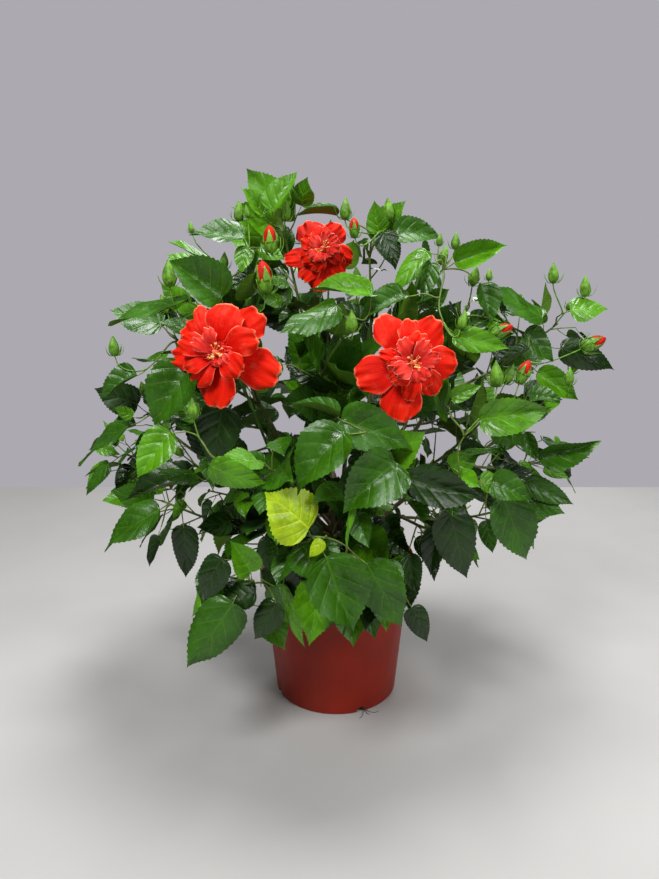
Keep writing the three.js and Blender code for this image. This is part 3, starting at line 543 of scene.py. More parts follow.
class Room:
    """What the leaves of one mass keep to and clear of."""

    def __init__(self, owners, ends, limbs, show):
        self.reach = max(end.reach for end in owners)
        self.owners = owners
        masses = [end for end in ends if not end.is_bloom and end not in owners]
        self.bases = np.array([end.base for end in masses])
        self.goals = np.array([end.goal for end in masses])
        self.blooms = [end for end in ends if end.is_bloom]
        foreign = [limb for limb in limbs if limb.plan is not owners[0].plan]
        self.froms = np.array([limb.start for limb in foreign])
        self.tos = np.array([limb.stop for limb in foreign])
        self.radii = np.array([limb.radius for limb in foreign])
        self.twigs = []
        self.show = show
        self.placed = []
        self.keeps_gaps = False

    def clear_of_bloom(self, points, end):
        offset = points - end.goal
        depth = dots(offset, end.face)
        side = np.sqrt(np.maximum(dots(offset, offset) - depth**2, 0))
        radius = end.size / 2
        disc = (depth > -34) & (depth < 24) & (side < radius + 5)
        before = (depth >= 24) & (depth < 260) & (side < radius * 0.86)
        return not np.any(disc | before)

    def holds(self, points):
        points = np.atleast_2d(points)
        if np.any(np.sqrt(dots(points - CROWN_FOOT, points - CROWN_FOOT)) >= self.reach):
            return False
        level = np.hypot(points[:, 0], points[:, 1])
        if np.any((points[:, 2] <= 10) | ((points[:, 2] <= 241) & (level <= 133))):
            return False
        mine = np.min([line_gap(points, end.base, end.goal) for end in self.owners], axis=0)
        others = line_gap(points[:, None], self.bases[None], self.goals[None])
        if np.any(others <= mine[:, None] + SPACE_MARGIN):
            return False
        return all(self.clear_of_bloom(points, end) for end in self.blooms)

    def clear_of_limbs(self, a, b, radius):
        return bool(np.all(segment_gap(a, b, self.froms, self.tos) > self.radii + radius + LIMB_MARGIN))

    def clear_of_leaves(self, a, b, gap):
        near = [leaf for leaf in self.placed + self.show if length_of(leaf.middle - (a + b) / 2) < 150]
        if not near:
            return True
        blades = np.array([leaf.triangles for leaf in near])
        return bool(np.all(triangle_gap(a, b, blades) > gap))

    def shuts_a_gap(self, leaf):
        """True where a blade would cover a part of one of the gaps."""
        scale = (leaf.middle[1] - VIEWER[1]) / (GAP_PLANE - VIEWER[1])
        near = line_gap(leaf.middle, VIEWER, GAP_ENDS) <= GAP_RADII * scale + leaf.size * BLADE_REACH
        if not near.any():
            return False
        gaps = triangle_gap(VIEWER, GAP_ENDS[near, None], leaf.triangles[None])
        return bool(np.any(gaps <= GAP_RADII[near, None] * scale))

    def open_gaps(self, shoots):
        """Takes out the leaves that cover a gap, and lets none grow there any more."""
        self.placed = [leaf for leaf in self.placed if not self.shuts_a_gap(leaf)]
        for shoot in shoots:
            if shoot.end_leaf is not None and self.shuts_a_gap(shoot.end_leaf):
                shoot.end_leaf = None
        self.keeps_gaps = True

    def takes(self, leaf):
        if self.keeps_gaps and self.shuts_a_gap(leaf):
            return False
        if not self.holds(np.vstack([leaf.edge, leaf.heel])):
            return False
        if not self.clear_of_limbs(leaf.node, leaf.heel, 1):
            return False
        blade = leaf.triangles
        reach = leaf.size * BLADE_REACH
        near = line_gap(leaf.middle, self.froms, self.tos) <= self.radii + LIMB_MARGIN + reach
        if near.any():
            gaps = triangle_gap(self.froms[near, None], self.tos[near, None], blade[None])
            if np.any(gaps <= self.radii[near, None] + LIMB_MARGIN):
                return False
        if self.twigs:
            twigs = np.array(self.twigs)
            twigs = twigs[line_gap(leaf.middle, twigs[:, 0], twigs[:, 1]) <= 2.5 + reach]
            if len(twigs) and np.any(triangle_gap(twigs[:, None, 0], twigs[:, None, 1], blade[None]) <= 2.5):
                return False
        return not crosses(leaf, self.placed + self.show, BLADE_GAP if self.keeps_gaps else 0)


def station_on(route, share):
    """The point, the direction and two directions square to it, at a share of a route's length."""
    at = min(share * (len(route) - 1), len(route) - 1 - 1e-6)
    index = int(at)
    way = unit(route[index + 1] - route[index])
    across, other = square_to(way)

    def radial(degrees):
        return across * math.cos(math.radians(degrees)) + other * math.sin(math.radians(degrees))

    return route[index] + (route[index + 1] - route[index]) * (at - index), way, radial


def sprout(room, share, stalk_way, node, end, roll, tries=TRIES, bend=None):
    """Tries one leaf after another, each turned further round, until one fits."""
    low = clamp((40 - end.rise) / 60)
    size = LEAF_LENGTH * share * mix(1, 0.86, max(0, end.rise) / 80)
    droop = mix(-0.1, 0.62, low) + 0.35 * roll()
    light = UP * 0.5 + outward_of(node) * (0.5 + 0.2 * low) + FRONT_LIGHT
    light = unit(light + np.array([roll() - 0.5, roll() - 0.5, 0.0]) * 0.9)
    for attempt in range(tries):
        leaf = leaf_on(node, stalk_way(attempt), size * (1 - 0.018 * attempt), droop + 0.03 * attempt, light, bend)
        if room.takes(leaf):
            room.placed.append(leaf)
            return leaf
    return None


def side_aim(way, radial, spread=0.85):
    return unit(way * 0.55 + radial * spread + UP * 0.25)


def grow_mass(end, room):
    """The leader, side twigs, leaves and buds that the solids have too."""
    roll = dice(end.seed)
    low = clamp((40 - end.rise) / 60)
    far = length_of(end.base - end.goal)
    sag = far * 0.06
    leader = np.array([mix(end.base, end.goal, s) - UP * 4 * sag * s * (1 - s) for s in (0, 0.5, 1)])
    turn = 360 * roll()
    shoots = [SimpleNamespace(route=leader, radii=(TWIG.radius, TWIG.radius * TWIG.tip_share), leaves=LEADER_LEAVES)]
    for share in SIDE_TWIGS:
        point, way, radial = station_on(leader, share)
        reach = (50 + 24 * roll()) * min(1, far / 110)
        turn += GOLDEN_TURN
        for attempt in range(6):
            aim = way * math.cos(math.radians(SIDE_ANGLE))
            aim = aim + radial(turn + 60 * attempt) * math.sin(math.radians(SIDE_ANGLE))
            tip = point + unit(aim + UP * mix(0.22, -0.1, low)) * reach
            if room.holds(tip) and room.clear_of_limbs(point, tip, 2):
                route = np.array([point, tip])
                shoots.append(SimpleNamespace(route=route, radii=(TWIG.side_radius, TWIG.side_radius * 0.8), leaves=1))
                break
    room.twigs = [(s.route[i], s.route[i + 1]) for s in shoots for i in range(len(s.route) - 1)]

    end_leaves = []
    for shoot in shoots:
        point, way, radial = station_on(shoot.route, 1)
        swing = 360 * roll()
        share = mix(0.7, 0.88, roll())
        leaf = sprout(
            room, share, lambda n: unit(way + radial(swing + 100 * n) * 0.12 * n), point, end, roll
        )
        shoot.end_leaf = leaf
        if leaf:
            room.placed.pop()
            end_leaves.append(leaf)
    room.placed.extend(end_leaves)
    for shoot in shoots:
        for i in range(shoot.leaves):
            share = 0.55 if shoot.leaves == 1 else mix(0.14, 0.92, i / (shoot.leaves - 1))
            point, way, radial = station_on(shoot.route, share)
            turn += GOLDEN_TURN
            start = turn
            leaf = sprout(
                room,
                mix(1.04, 0.86, share) * mix(0.9, 1.1, roll()),
                lambda n: side_aim(way, radial(start + 47 * n), 0.85 if n < TRIES / 2 else 0.45),
                point,
                end,
                roll,
            )
            if leaf:
                leaf.share = share
    buds = []
    for i in range(end.buds):
        point, way, radial = station_on(shoots[i % len(shoots)].route, 0.96)
        size = mix(0.8, 1.2, roll())
        swing = 360 * roll()
        for attempt in range(TRIES):
            bud_way = unit(way * 0.6 + UP * 0.7 + radial(swing + 67 * attempt) * 0.35)
            tip = point + bud_way * (BUD_STALK + BUD_LENGTH) * size
            free = room.clear_of_leaves(point, tip, 8) and room.clear_of_limbs(point, tip, 8)
            if free and room.holds(tip):
                buds.append(SimpleNamespace(start=point, way=bud_way, size=size, petals=False))
                break
    return shoots, buds


FINE_TWIGS = (0.12, 0.24, 0.38, 0.5, 0.7, 0.82, 0.93)


def carry_on(end, room, shoots):
    """Finer twigs and smaller leaves than the solids have, in what room is left."""
    roll = dice(end.seed + 400)
    turn = 360 * roll()
    fine = []
    for share in FINE_TWIGS:
        point, way, radial = station_on(shoots[0].route, share)
        reach = mix(22, 58, roll())
        turn += GOLDEN_TURN
        for attempt in range(9):
            aim = side_aim(way, radial(turn + 40 * attempt), mix(0.5, 1.0, roll()))
            tip = point + aim * reach
            if room.holds(tip) and room.clear_of_limbs(point, tip, 2) and room.clear_of_leaves(point + aim * 4, tip, 2):
                bow = radial(turn + 40 * attempt + 90) * reach * 0.07
                route = np.array([point, (point + tip) / 2 + bow, tip])
                room.twigs += [(route[0], route[1]), (route[1], route[2])]
                fine.append(SimpleNamespace(route=route, radii=(1.15, 0.75), leaves=2, end_leaf=None))
                break
    for shoot in fine:
        point, way, radial = station_on(shoot.route, 1)
        start = 360 * roll()
        size = mix(0.42, 0.66, roll())
        shoot.end_leaf = sprout(
            room, size, lambda n: unit(way + radial(start + 100 * n) * 0.14 * n), point, end, roll, 14, own_bend(roll)
        )
    for index, shoot in enumerate(shoots + fine):
        for share in (0.42, 0.97) if index < len(shoots) else (0.3, 0.78):
            point, way, radial = station_on(shoot.route, share)
            turn += GOLDEN_TURN
            start = turn
            leaf = sprout(
                room,
                mix(0.42, 0.76, roll()),
                lambda n: side_aim(way, radial(start + 47 * n), 0.8),
                point,
                end,
                roll,
                14,
                own_bend(roll),
            )
            if leaf:
                leaf.share = share
    return fine


def bough_leaves(plan, room):
    """Older leaves on the outer half of a bough."""
    roll = dice(900 + len(plan.name) * 7 + int(100 * abs(plan.middle[0])))
    turn = 360 * roll()
    middle_end = SimpleNamespace(rise=np.mean([row["rise"] for row in plan.rows]))
    for share in np.linspace(0.26, 0.98, 11):
        point, way, radial = station_on(plan.route, share)
        turn += GOLDEN_TURN
        start = turn
        leaf = sprout(
            room,
            mix(0.6, 0.95, roll()),
            lambda n: side_aim(way, radial(start + 47 * n), 0.85),
            point,
            middle_end,
            roll,
            18,
            own_bend(roll),
        )
        if leaf:
            leaf.share = 0.0


def deal_tones(leaves, seed):
    """Young leaves at the ends of the twigs are fresher in colour than the old ones inside."""
    roll = dice(seed)
    for leaf in leaves:
        chance = roll()
        if leaf.share >= 0.9:
            leaf.tone = "fresh" if chance < 0.5 else "mid" if chance < 0.92 else "deep"
        elif leaf.share >= 0.45:
            leaf.tone = "fresh" if chance < 0.28 else "mid" if chance < 0.8 else "deep"
        else:
            leaf.tone = "mid" if chance < 0.4 else "deep"


def nearest_station(point, routes):
    """The nearest place on any of these routes, and the way that it runs there."""
    best = None
    for route in routes:
        for a, b in zip(route[:-1], route[1:]):
            share = clamp(float(np.dot(point - a, b - a) / np.dot(b - a, b - a)), 0.05, 0.95)
            at = a + (b - a) * share
            gap = length_of(point - at)
            if best is None or gap < best[0]:
                best = (gap, at, unit(b - a))
    return best


@functools.lru_cache(maxsize=1)
def grown():
    """The whole plant as routes, leaves and buds, in millimetres."""
    plans = plan_boughs()
    ends = plan_ends(plans)
    limbs = []
    for plan in plans:
        for start, stop in zip(plan.route[:-1], plan.route[1:]):
            limbs.append(SimpleNamespace(plan=plan, start=start, stop=stop, radius=BOUGH.root))
    limbs.append(SimpleNamespace(plan=None, start=stem_centre(MIX_TOP), stop=stem_centre(STEM.top), radius=STEM.foot))
    for end in ends:
        if end.is_bloom:
            limbs.append(SimpleNamespace(plan=None, start=end.base, stop=end.goal - end.face * 36, radius=14))

    show = []
    bends = dice(77)
    for heel, tip, width, tone, roll_turn in SHOW_LEAVES:
        for _ in range(TRIES):
            leaf = show_leaf(heel, tip, width, roll_turn, own_bend(bends))
            if not crosses(leaf, show, BLADE_GAP):
                break
        leaf.tone = tone
        show.append(leaf)
    plant = SimpleNamespace(plans=plans, ends=ends, shoots=[], leaves=[], buds=[])
    leaders = []
    for end in ends:
        if end.is_bloom:
            continue
        room = Room([end], ends, limbs, show)
        shoots, buds = grow_mass(end, room)
        leaders.append(shoots[0].route)
        room.open_gaps(shoots)
        fine = carry_on(end, room, shoots)
        deal_tones(room.placed, end.seed + 800)
        plant.shoots += shoots + fine
        plant.leaves += room.placed
        plant.buds += buds
    for plan in plans:
        owners = [end for end in ends if end.plan is plan and not end.is_bloom]
        room = Room(owners, ends, limbs, show + plant.leaves)
        room.keeps_gaps = True
        bough_leaves(plan, room)
        deal_tones(room.placed, 1200 + int(plan.fork[2]))
        plant.leaves += room.placed

    carriers = leaders + [plan.route for plan in plans]
    for leaf in show:
        gap, at, way = nearest_station(leaf.heel - leaf.spine * leaf.size * 0.2, carriers)
        stalk = unit(leaf.spine * 0.5 + unit(leaf.heel - at) * 0.8)
        leaf.node = leaf.heel - stalk * min(leaf.size * LEAF_STALK, gap * 0.6)
        route = bezier(at, at + (way * 0.5 + unit(leaf.node - at) * 0.5) * gap * 0.3, leaf.node - stalk * gap * 0.3,
                       leaf.node, 4)
        plant.shoots.append(SimpleNamespace(route=route, radii=(1.5, 0.95), leaves=0, end_leaf=leaf))
        if gap > 60:
            carriers.append(route)
    plant.leaves += show
    for foot, tip, petals in SHOW_BUDS:
        foot, tip = np.array(foot, float), np.array(tip, float)
        way = unit(tip - foot)
        gap, at, along = nearest_station(foot - way * 30, carriers)
        route = bezier(at, at + along * gap * 0.35, foot - way * min(gap * 0.5, 40), foot, 6)
        plant.buds.append(
            SimpleNamespace(route=route, foot=foot, way=way, size=length_of(tip - foot) / BUD_LENGTH, petals=petals)
        )
    return plant


# ---- meshes and materials ----
def hex_colour(code):
    """An sRGB hex code as linear red, green and blue."""
    shares = [int(code[i : i + 2], 16) / 255 for i in (1, 3, 5)]
    return tuple(s / 12.92 if s <= 0.04045 else ((s + 0.055) / 1.055) ** 2.4 for s in shares)


def add_node(tree, kind, inputs=None, **settings):
    """Adds a node with its settings; an input takes a value or another node's output."""
    made = tree.nodes.new(kind)
    for name, value in settings.items():
        setattr(made, name, value)
    for key, value in (inputs or {}).items():
        if isinstance(value, bpy.types.NodeSocket):
            tree.links.new(value, made.inputs[key])
        else:
            made.inputs[key].default_value = value
    return made


def new_material(name, colour, **plain):
    """A material with one Principled shader, and the values that are the same all over it."""
    material = bpy.data.materials.new(name)
    material.use_nodes = True
    shader = material.node_tree.nodes["Principled BSDF"]
    shader.inputs["Base Color"].default_value = (*colour, 1)
    for key, value in plain.items():
        shader.inputs[key.replace("_", " ")].default_value = value
    return material, material.node_tree, shader


def math_of(tree, operation, *values, clamped=False):
    inputs = dict(enumerate(values))
    return add_node(tree, "ShaderNodeMath", inputs, operation=operation, use_clamp=clamped).outputs[0]


def spread(tree, value, low, high, to_low=0.0, to_high=1.0):
    """A value from one range brought into another, smoothly."""
    inputs = {"Value": value, "From Min": low, "From Max": high, "To Min": to_low, "To Max": to_high}
    return add_node(tree, "ShaderNodeMapRange", inputs, interpolation_type="SMOOTHSTEP").outputs["Result"]


def colour_mix(tree, share, first, second, blend="MIX"):
    made = add_node(tree, "ShaderNodeMix", {0: share}, data_type="RGBA", blend_type=blend)
    for socket, value in ((made.inputs[6], first), (made.inputs[7], second)):
        if isinstance(value, bpy.types.NodeSocket):
            tree.links.new(value, socket)
        else:
            socket.default_value = (*value, 1)
    return made.outputs[2]


def grain(tree, coordinates, size_mm, detail=3.0, roughness=0.55, stretch=(1, 1, 1)):
    """A soft noise whose blotches are about this many millimetres across."""
    if stretch != (1, 1, 1):
        coordinates = add_node(tree, "ShaderNodeMapping", {"Vector": coordinates, "Scale": stretch}).outputs[0]
    inputs = {"Vector": coordinates, "Scale": 1 / (size_mm * MM), "Detail": detail, "Roughness": roughness}
    return add_node(tree, "ShaderNodeTexNoise", inputs).outputs["Fac"]


def bump(tree, shader, height, depth_mm, strength=1.0):
    inputs = {"Height": height, "Distance": depth_mm * MM, "Strength": strength}
    made = add_node(tree, "ShaderNodeBump", inputs)
    tree.links.new(made.outputs["Normal"], shader.inputs["Normal"])


def finish_piece(name, mesh, nodes=()):
    """Links a finished mesh at the origin, rides it on the plant and hides the solids that it stands for."""
    piece = bpy.data.objects.new(name, mesh)
    bpy.context.scene.collection.objects.link(piece)
    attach(piece, "root")
    if nodes:
        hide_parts(*nodes)
    return piece


def mesh_of(name, points, faces, materials, face_slots=None, uv=None, sharp=None, values=None):
    """A smooth mesh from points in millimetres. uv and values give two numbers and one number a point."""
    mesh = bpy.data.meshes.new(name)
    mesh.from_pydata((np.asarray(points) * MM).tolist(), [], faces)
    for material in materials:
        mesh.materials.append(material)
    mesh.polygons.foreach_set("use_smooth", np.ones(len(mesh.polygons), bool))
    if face_slots is not None:
        mesh.polygons.foreach_set("material_index", np.asarray(face_slots, np.int32))
    if uv is not None:
        corner = np.empty(len(mesh.loops), np.int32)
        mesh.loops.foreach_get("vertex_index", corner)
        layer = mesh.uv_layers.new(name="surface")
        layer.data.foreach_set("uv", np.asarray(uv, np.float32)[corner].ravel())
    if sharp is not None:
        ends = np.empty(len(mesh.edges) * 2, np.int32)
        mesh.edges.foreach_get("vertices", ends)
        both = np.asarray(sharp)[ends].reshape(-1, 2).all(axis=1)
        mesh.edges.foreach_set("use_edge_sharp", both)
    for key, numbers in (values or {}).items():
        attribute = mesh.attributes.new(key, "FLOAT", "POINT")
        attribute.data.foreach_set("value", np.asarray(numbers, np.float32))
    mesh.update()
    return mesh


def smooth_by_angle(mesh, degrees):
    bm = bmesh.new()
    bm.from_mesh(mesh)
    for edge in bm.edges:
        if len(edge.link_faces) == 2:
            edge.smooth = edge.calc_face_angle() < math.radians(degrees)
    for face in bm.faces:
        face.smooth = True
    bm.to_mesh(mesh)
    bm.free()


class Joined:
    """Collects like shapes into the points and faces of one mesh."""

    def __init__(self):
        self.points, self.faces, self.uv, self.numbers, self.slots, self.count = [], [], [], [], [], 0

    def add(self, points, faces, uv=None, numbers=None, slot=0):
        self.points.append(points)
        self.faces += [[i + self.count for i in face] for face in faces]
        self.uv.append(np.zeros((len(points), 2)) if uv is None else uv)
        self.numbers.append(np.zeros(len(points)) if numbers is None else numbers)
        self.slots += [slot] * len(faces)
        self.count += len(points)

    def mesh(self, name, materials, key="age"):
        points, uv, numbers = np.vstack(self.points), np.vstack(self.uv), np.concatenate(self.numbers)
        return mesh_of(name, points, self.faces, materials, self.slots, uv, values={key: numbers})


def ring_faces(rings, sides):
    """The faces of a closed tube of rings, with both ends capped."""
    faces = []
    for i in range(rings - 1):
        for k in range(sides):
            after = (k + 1) % sides
            faces.append([i * sides + k, i * sides + after, (i + 1) * sides + after, (i + 1) * sides + k])
    faces.append([k for k in reversed(range(sides))])
    faces.append([(rings - 1) * sides + k for k in range(sides)])
    return faces


def tube(route, radii, sides, flat=1.0, first_across=None):
    """The points of a tube along a route. flat squashes it across its second direction."""
    route = np.asarray(route, float)
    ways = np.gradient(route, axis=0)
    ways = unit(ways)
    across = first_across if first_across is not None else square_to(ways[0])[0]
    turns = np.arange(sides) * 2 * math.pi / sides
    points = []
    for centre, way, radius in zip(route, ways, radii):
        across = unit(across - way * np.dot(across, way))
        other = cross(way, across)
        rim = np.outer(np.cos(turns), across) + np.outer(np.sin(turns), other) * flat
        points.append(centre + rim * radius)
    return np.vstack(points)


def add_tube(joined, route, radii, sides, age=0.0, slot=0, flat=1.0, across=None):
    ages = np.repeat(np.broadcast_to(age, len(route)), sides)
    joined.add(tube(route, radii, sides, flat, across), ring_faces(len(route), sides), numbers=ages, slot=slot)


def applied(piece):
    """The piece's mesh with its modifiers applied, as a plain mesh."""
    bpy.context.view_layer.update()
    graph = bpy.context.evaluated_depsgraph_get()
    mesh = bpy.data.meshes.new_from_object(piece.evaluated_get(graph), depsgraph=graph)
    mesh.name = piece.name
    return mesh


def scatter_tree(name, aligned):
    """Geometry Nodes: small items strewn over a surface, each turned and sized by chance, and made real."""
    tree = bpy.data.node_groups.new(name, "GeometryNodeTree")
    sockets = (
        ("Surface", "NodeSocketGeometry"),
        ("Item", "NodeSocketObject"),
        ("Per square metre", "NodeSocketFloat"),
        ("Smallest", "NodeSocketFloat"),
        ("Largest", "NodeSocketFloat"),
        ("Seed", "NodeSocketInt"),
        ("Finish", "NodeSocketMaterial"),
    )
    for label, kind in sockets:
        tree.interface.new_socket(label, in_out="INPUT", socket_type=kind)
    tree.interface.new_socket("Items", in_out="OUTPUT", socket_type="NodeSocketGeometry")
    given = add_node(tree, "NodeGroupInput").outputs
    spots = add_node(
        tree,
        "GeometryNodeDistributePointsOnFaces",
        {"Mesh": given["Surface"], "Density": given["Per square metre"], "Seed": given["Seed"]},
    )
    item = add_node(tree, "GeometryNodeObjectInfo", {"Object": given["Item"]})
    sizes = add_node(
        tree,
        "FunctionNodeRandomValue",
        {2: given["Smallest"], 3: given["Largest"], "Seed": given["Seed"]},
        data_type="FLOAT",
    )
    if aligned:
        turned = spots.outputs["Rotation"]
    else:
        turned = add_node(
            tree,
            "FunctionNodeRandomValue",
            {0: (-math.pi,) * 3, 1: (math.pi,) * 3, "Seed": given["Seed"]},
            data_type="FLOAT_VECTOR",
        ).outputs[0]
    strewn = add_node(
        tree,
        "GeometryNodeInstanceOnPoints",
        {"Points": spots.outputs["Points"], "Instance": item.outputs["Geometry"], "Rotation": turned,
         "Scale": sizes.outputs[1]},
    )
    real = add_node(tree, "GeometryNodeRealizeInstances", {"Geometry": strewn.outputs[0]})
    worn = add_node(tree, "GeometryNodeSetMaterial", {"Geometry": real.outputs[0], "Material": given["Finish"]})
    leaving = add_node(tree, "NodeGroupOutput")
    tree.links.new(worn.outputs[0], leaving.inputs["Items"])
    return tree


def strewn(name, surface, item, density, smallest, largest, seed, material, aligned):
    """Runs the scatter tree over a surface mesh and gives back the plain mesh of its items."""
    ground = bpy.data.objects.new(name, surface)
    grain_item = bpy.data.objects.new(name + "_item", item)
    for made in (ground, grain_item):
        bpy.context.scene.collection.objects.link(made)
    modifier = ground.modifiers.new(name, "NODES")
    modifier.node_group = scatter_tree(name, aligned)
    wanted = {"Item": grain_item, "Per square metre": density, "Smallest": smallest, "Largest": largest,
              "Seed": seed, "Finish": material}
    for socket in modifier.node_group.interface.items_tree:
        if socket.in_out == "INPUT" and socket.name in wanted:
            modifier[socket.identifier] = wanted[socket.name]
    mesh = applied(ground)
    for made in (ground, grain_item):
        bpy.data.objects.remove(made)
    return mesh


# ---- sizes and colours a user would change ----
def length_setting(name, description, default):
    return bpy.props.FloatProperty(name=name, description=description, default=default, min=0, unit="LENGTH", precision=4)


def colour_setting(name, description, code):
    return bpy.props.FloatVectorProperty(
        name=name, description=description, default=hex_colour(code), size=3, min=0, max=1, subtype="COLOR"
    )


class HibiscusPotSettings(bpy.types.PropertyGroup):
    """Sizes and colours of the nursery pot and what fills it"""

    height: length_setting("Height", "Height of the pot", POT_HEIGHT)
    rim_radius: length_setting("Rim radius", "Outer radius of the rim", RIM_RADIUS)
    foot_radius: length_setting("Foot radius", "Radius of the flat foot", 0.101)
    wall: length_setting("Wall", "Thickness of the wall", 0.0022)
    colour: colour_setting("Plastic", "Colour of the moulded plastic", "#921e02")
    mix_colour: colour_setting("Potting mix", "Colour of the damp potting mix", "#2a1c13")


class HibiscusLimbSettings(bpy.types.PropertyGroup):
    """Bark of the stem, boughs and twigs"""

    relief: length_setting("Bark relief", "Depth of the furrows in the stem's bark", 0.0009)
    bark_colour: colour_setting("Old bark", "Colour of the woody bark", "#5d4c39")
    young_colour: colour_setting("Young bark", "Colour of this year's green twigs", "#6f8a35")


class HibiscusLeafSettings(bpy.types.PropertyGroup):
    """Shape and tones of the leaves"""

    quilting: bpy.props.FloatProperty(
        name="Quilting", description="How far the blade swells between veins, as a share of its length",
        default=0.009, min=0, max=0.05, subtype="FACTOR",
    )
    teeth: bpy.props.FloatProperty(
        name="Teeth", description="Depth of the teeth as a share of the half width", default=0.03, min=0, max=0.2,
        subtype="FACTOR",
    )
    deep: colour_setting("Old leaves", "Tone of the old leaves inside", "#173604")
    mid: colour_setting("Full-grown leaves", "Tone of the full-grown leaves", "#2f5f05")
    fresh: colour_setting("Young leaves", "Tone of the young leaves", "#508c0a")
    # The tone of the newest leaves is partly their own paler green and partly painted light. It is made brighter to
    # stand in for light shining through a blade lit from behind.
    lime: colour_setting("Newest leaves", "Tone of the few newest leaves", "#9cbd10")


class HibiscusBloomSettings(bpy.types.PropertyGroup):
    """Colours and ruffle of the blooms"""

    ruffle: length_setting("Ruffle", "Height of the waves along a petal's rim", 0.003)
    petal: colour_setting("Petal", "Colour of the petals", "#e11400")
    rim: colour_setting("Petal rim", "Paler colour along the petals' rims", "#ff7f5e")
    anther: colour_setting("Anthers", "Colour of the pollen", "#ffd27a")


class HibiscusStageSettings(bpy.types.PropertyGroup):
    """Floor and studio light"""

    floor: colour_setting("Floor", "Colour of the plain floor", "#b5b4b2")
    room: colour_setting("Room", "Colour of the soft light all round", "#acaab0")
    fill: bpy.props.FloatProperty(
        name="Fill", description="How much of the room's light falls on the plant", default=0.24, min=0, max=1,
        subtype="FACTOR",
    )
    lamp: bpy.props.FloatProperty(
        name="Main lamp", description="Power of the big soft lamp overhead", default=54, min=0, unit="POWER"
    )


def settings():
    return bpy.context.scene


# ---- the pot ----
LIP_BAND = 22.0
LIP_OUT = 4.5
DRAIN_COUNT = 4
DRAIN_FIRST_TURN = 293.0
POT_SIDES = 144


def pot_wall_radius(z, foot, rim, height):
    return mix(foot, rim - LIP_OUT - 1.5, (z - 3) / (height - LIP_BAND - 3))


def turned(outline, sides):
    """Points and faces of an outline of (radius, height) turned about the Z axis; it starts and ends on the axis."""
    turns = np.arange(sides) * 2 * math.pi / sides
    points = [[0, 0, outline[0][1]]]
    for radius, z in outline[1:-1]:
        points += [[radius * math.cos(a), radius * math.sin(a), z] for a in turns]
    points.append([0, 0, outline[-1][1]])
    rings, last = len(outline) - 2, len(points) - 1
    faces = []
    for k in range(sides):
        after = (k + 1) % sides
        faces.append([0, 1 + after, 1 + k])
        faces.append([last, last - sides + k, last - sides + after])
        for i in range(rings - 1):
            low = 1 + i * sides
            faces.append([low + k, low + after, low + sides + after, low + sides + k])
    return np.array(points), faces


def pot_outline(height, rim, foot, wall):
    lip = height - LIP_BAND
    top = rim - LIP_OUT - 1.5
    bead = wall / 2
    outline = [(0, 1.6), (foot * 0.55, 1.6), (foot - 9, 1.4), (foot - 8, 0), (foot - 2.6, 0), (foot - 1.1, 0.5),
               (foot - 0.3, 1.5), (foot, 3)]
    for share in (0.12, 0.3, 0.5, 0.7, 0.88):
        z = mix(3, lip, share)
        outline.append((pot_wall_radius(z, foot, rim, height), z))
    outline += [(top - 0.15, lip - 1.6), (top + 0.35, lip - 0.6), (top + 1.4, lip), (top + LIP_OUT - 0.9, lip),
                (top + LIP_OUT - 0.2, lip + 0.5), (top + LIP_OUT, lip + 1.4), (rim - 0.6, mix(lip, height, 0.6)),
                (rim, height - bead), (rim - bead * 0.3, height - bead * 0.3), (rim - bead, height),
                (rim - bead * 1.7, height - bead * 0.3), (rim - wall, height - bead),
                (rim - wall - 0.9, mix(lip, height, 0.5)), (top + LIP_OUT - wall, lip + 3),
                (top + 1.2 - wall, lip - 1), (top - wall, lip - 4)]
    for share in (0.7, 0.4, 0.1):
        z = mix(wall + 3, lip - 4, share)
        outline.append((pot_wall_radius(z, foot, rim, height) - wall, z))
    outline += [(foot - wall - 3, wall), (foot * 0.5, wall), (0, wall)]
    return outline


def drain_cutter():
    """Round-headed slots through the foot of the wall, one every quarter turn."""
    joined = Joined()
    turns = np.linspace(0, math.pi, 9)
    arch = [(-7.5, -4.0)] + [(-7.5 * math.cos(a), 3.5 + 5.5 * math.sin(a)) for a in turns] + [(7.5, -4.0)]
    for k in range(DRAIN_COUNT):
        out = heading(DRAIN_FIRST_TURN + 360 * k / DRAIN_COUNT, 0)
        across = cross(UP, out)
        points = [out * r + across * x + UP * z for r in (86, 113) for x, z in arch]
        size = len(arch)
        faces = [[i for i in range(size)], [size + i for i in reversed(range(size))]]
        faces += [[(i + 1) % size, i, size + i, size + (i + 1) % size] for i in range(size)]
        joined.add(np.array(points), faces)
    return joined.mesh("drain_cutter", [])


def pot_plastic(colour):
    """Polypropylene, injection moulded: an even semi-gloss skin with faint flow marks up the wall and small scuffs."""
    material, tree, shader = new_material("moulded_polypropylene", colour, Roughness=0.42, IOR=1.49)
    shader.inputs["Specular IOR Level"].default_value = 0.3
    place = add_node(tree, "ShaderNodeTexCoord").outputs["Object"]
    flow = grain(tree, place, 26, 2, 0.5, (1, 1, 0.12))
    cloud = grain(tree, place, 60, 3)
    scuffs = grain(tree, place, 2.2, 5, 0.7, (1, 1, 3))
    paler = tuple(min(1, c * 1.3 + 0.012) for c in colour)
    darker = tuple(c * 0.8 for c in colour)
    body = colour_mix(tree, spread(tree, cloud, 0.3, 0.7), darker, colour)
    body = colour_mix(tree, spread(tree, scuffs, 0.62, 0.8, 0, 0.45), body, paler)
    tree.links.new(body, shader.inputs["Base Color"])
    tree.links.new(spread(tree, flow, 0.3, 0.7, 0.36, 0.5), shader.inputs["Roughness"])
    bump(tree, shader, math_of(tree, "ADD", flow, math_of(tree, "MULTIPLY", scuffs, 0.25)), 0.35, 0.5)
    return material


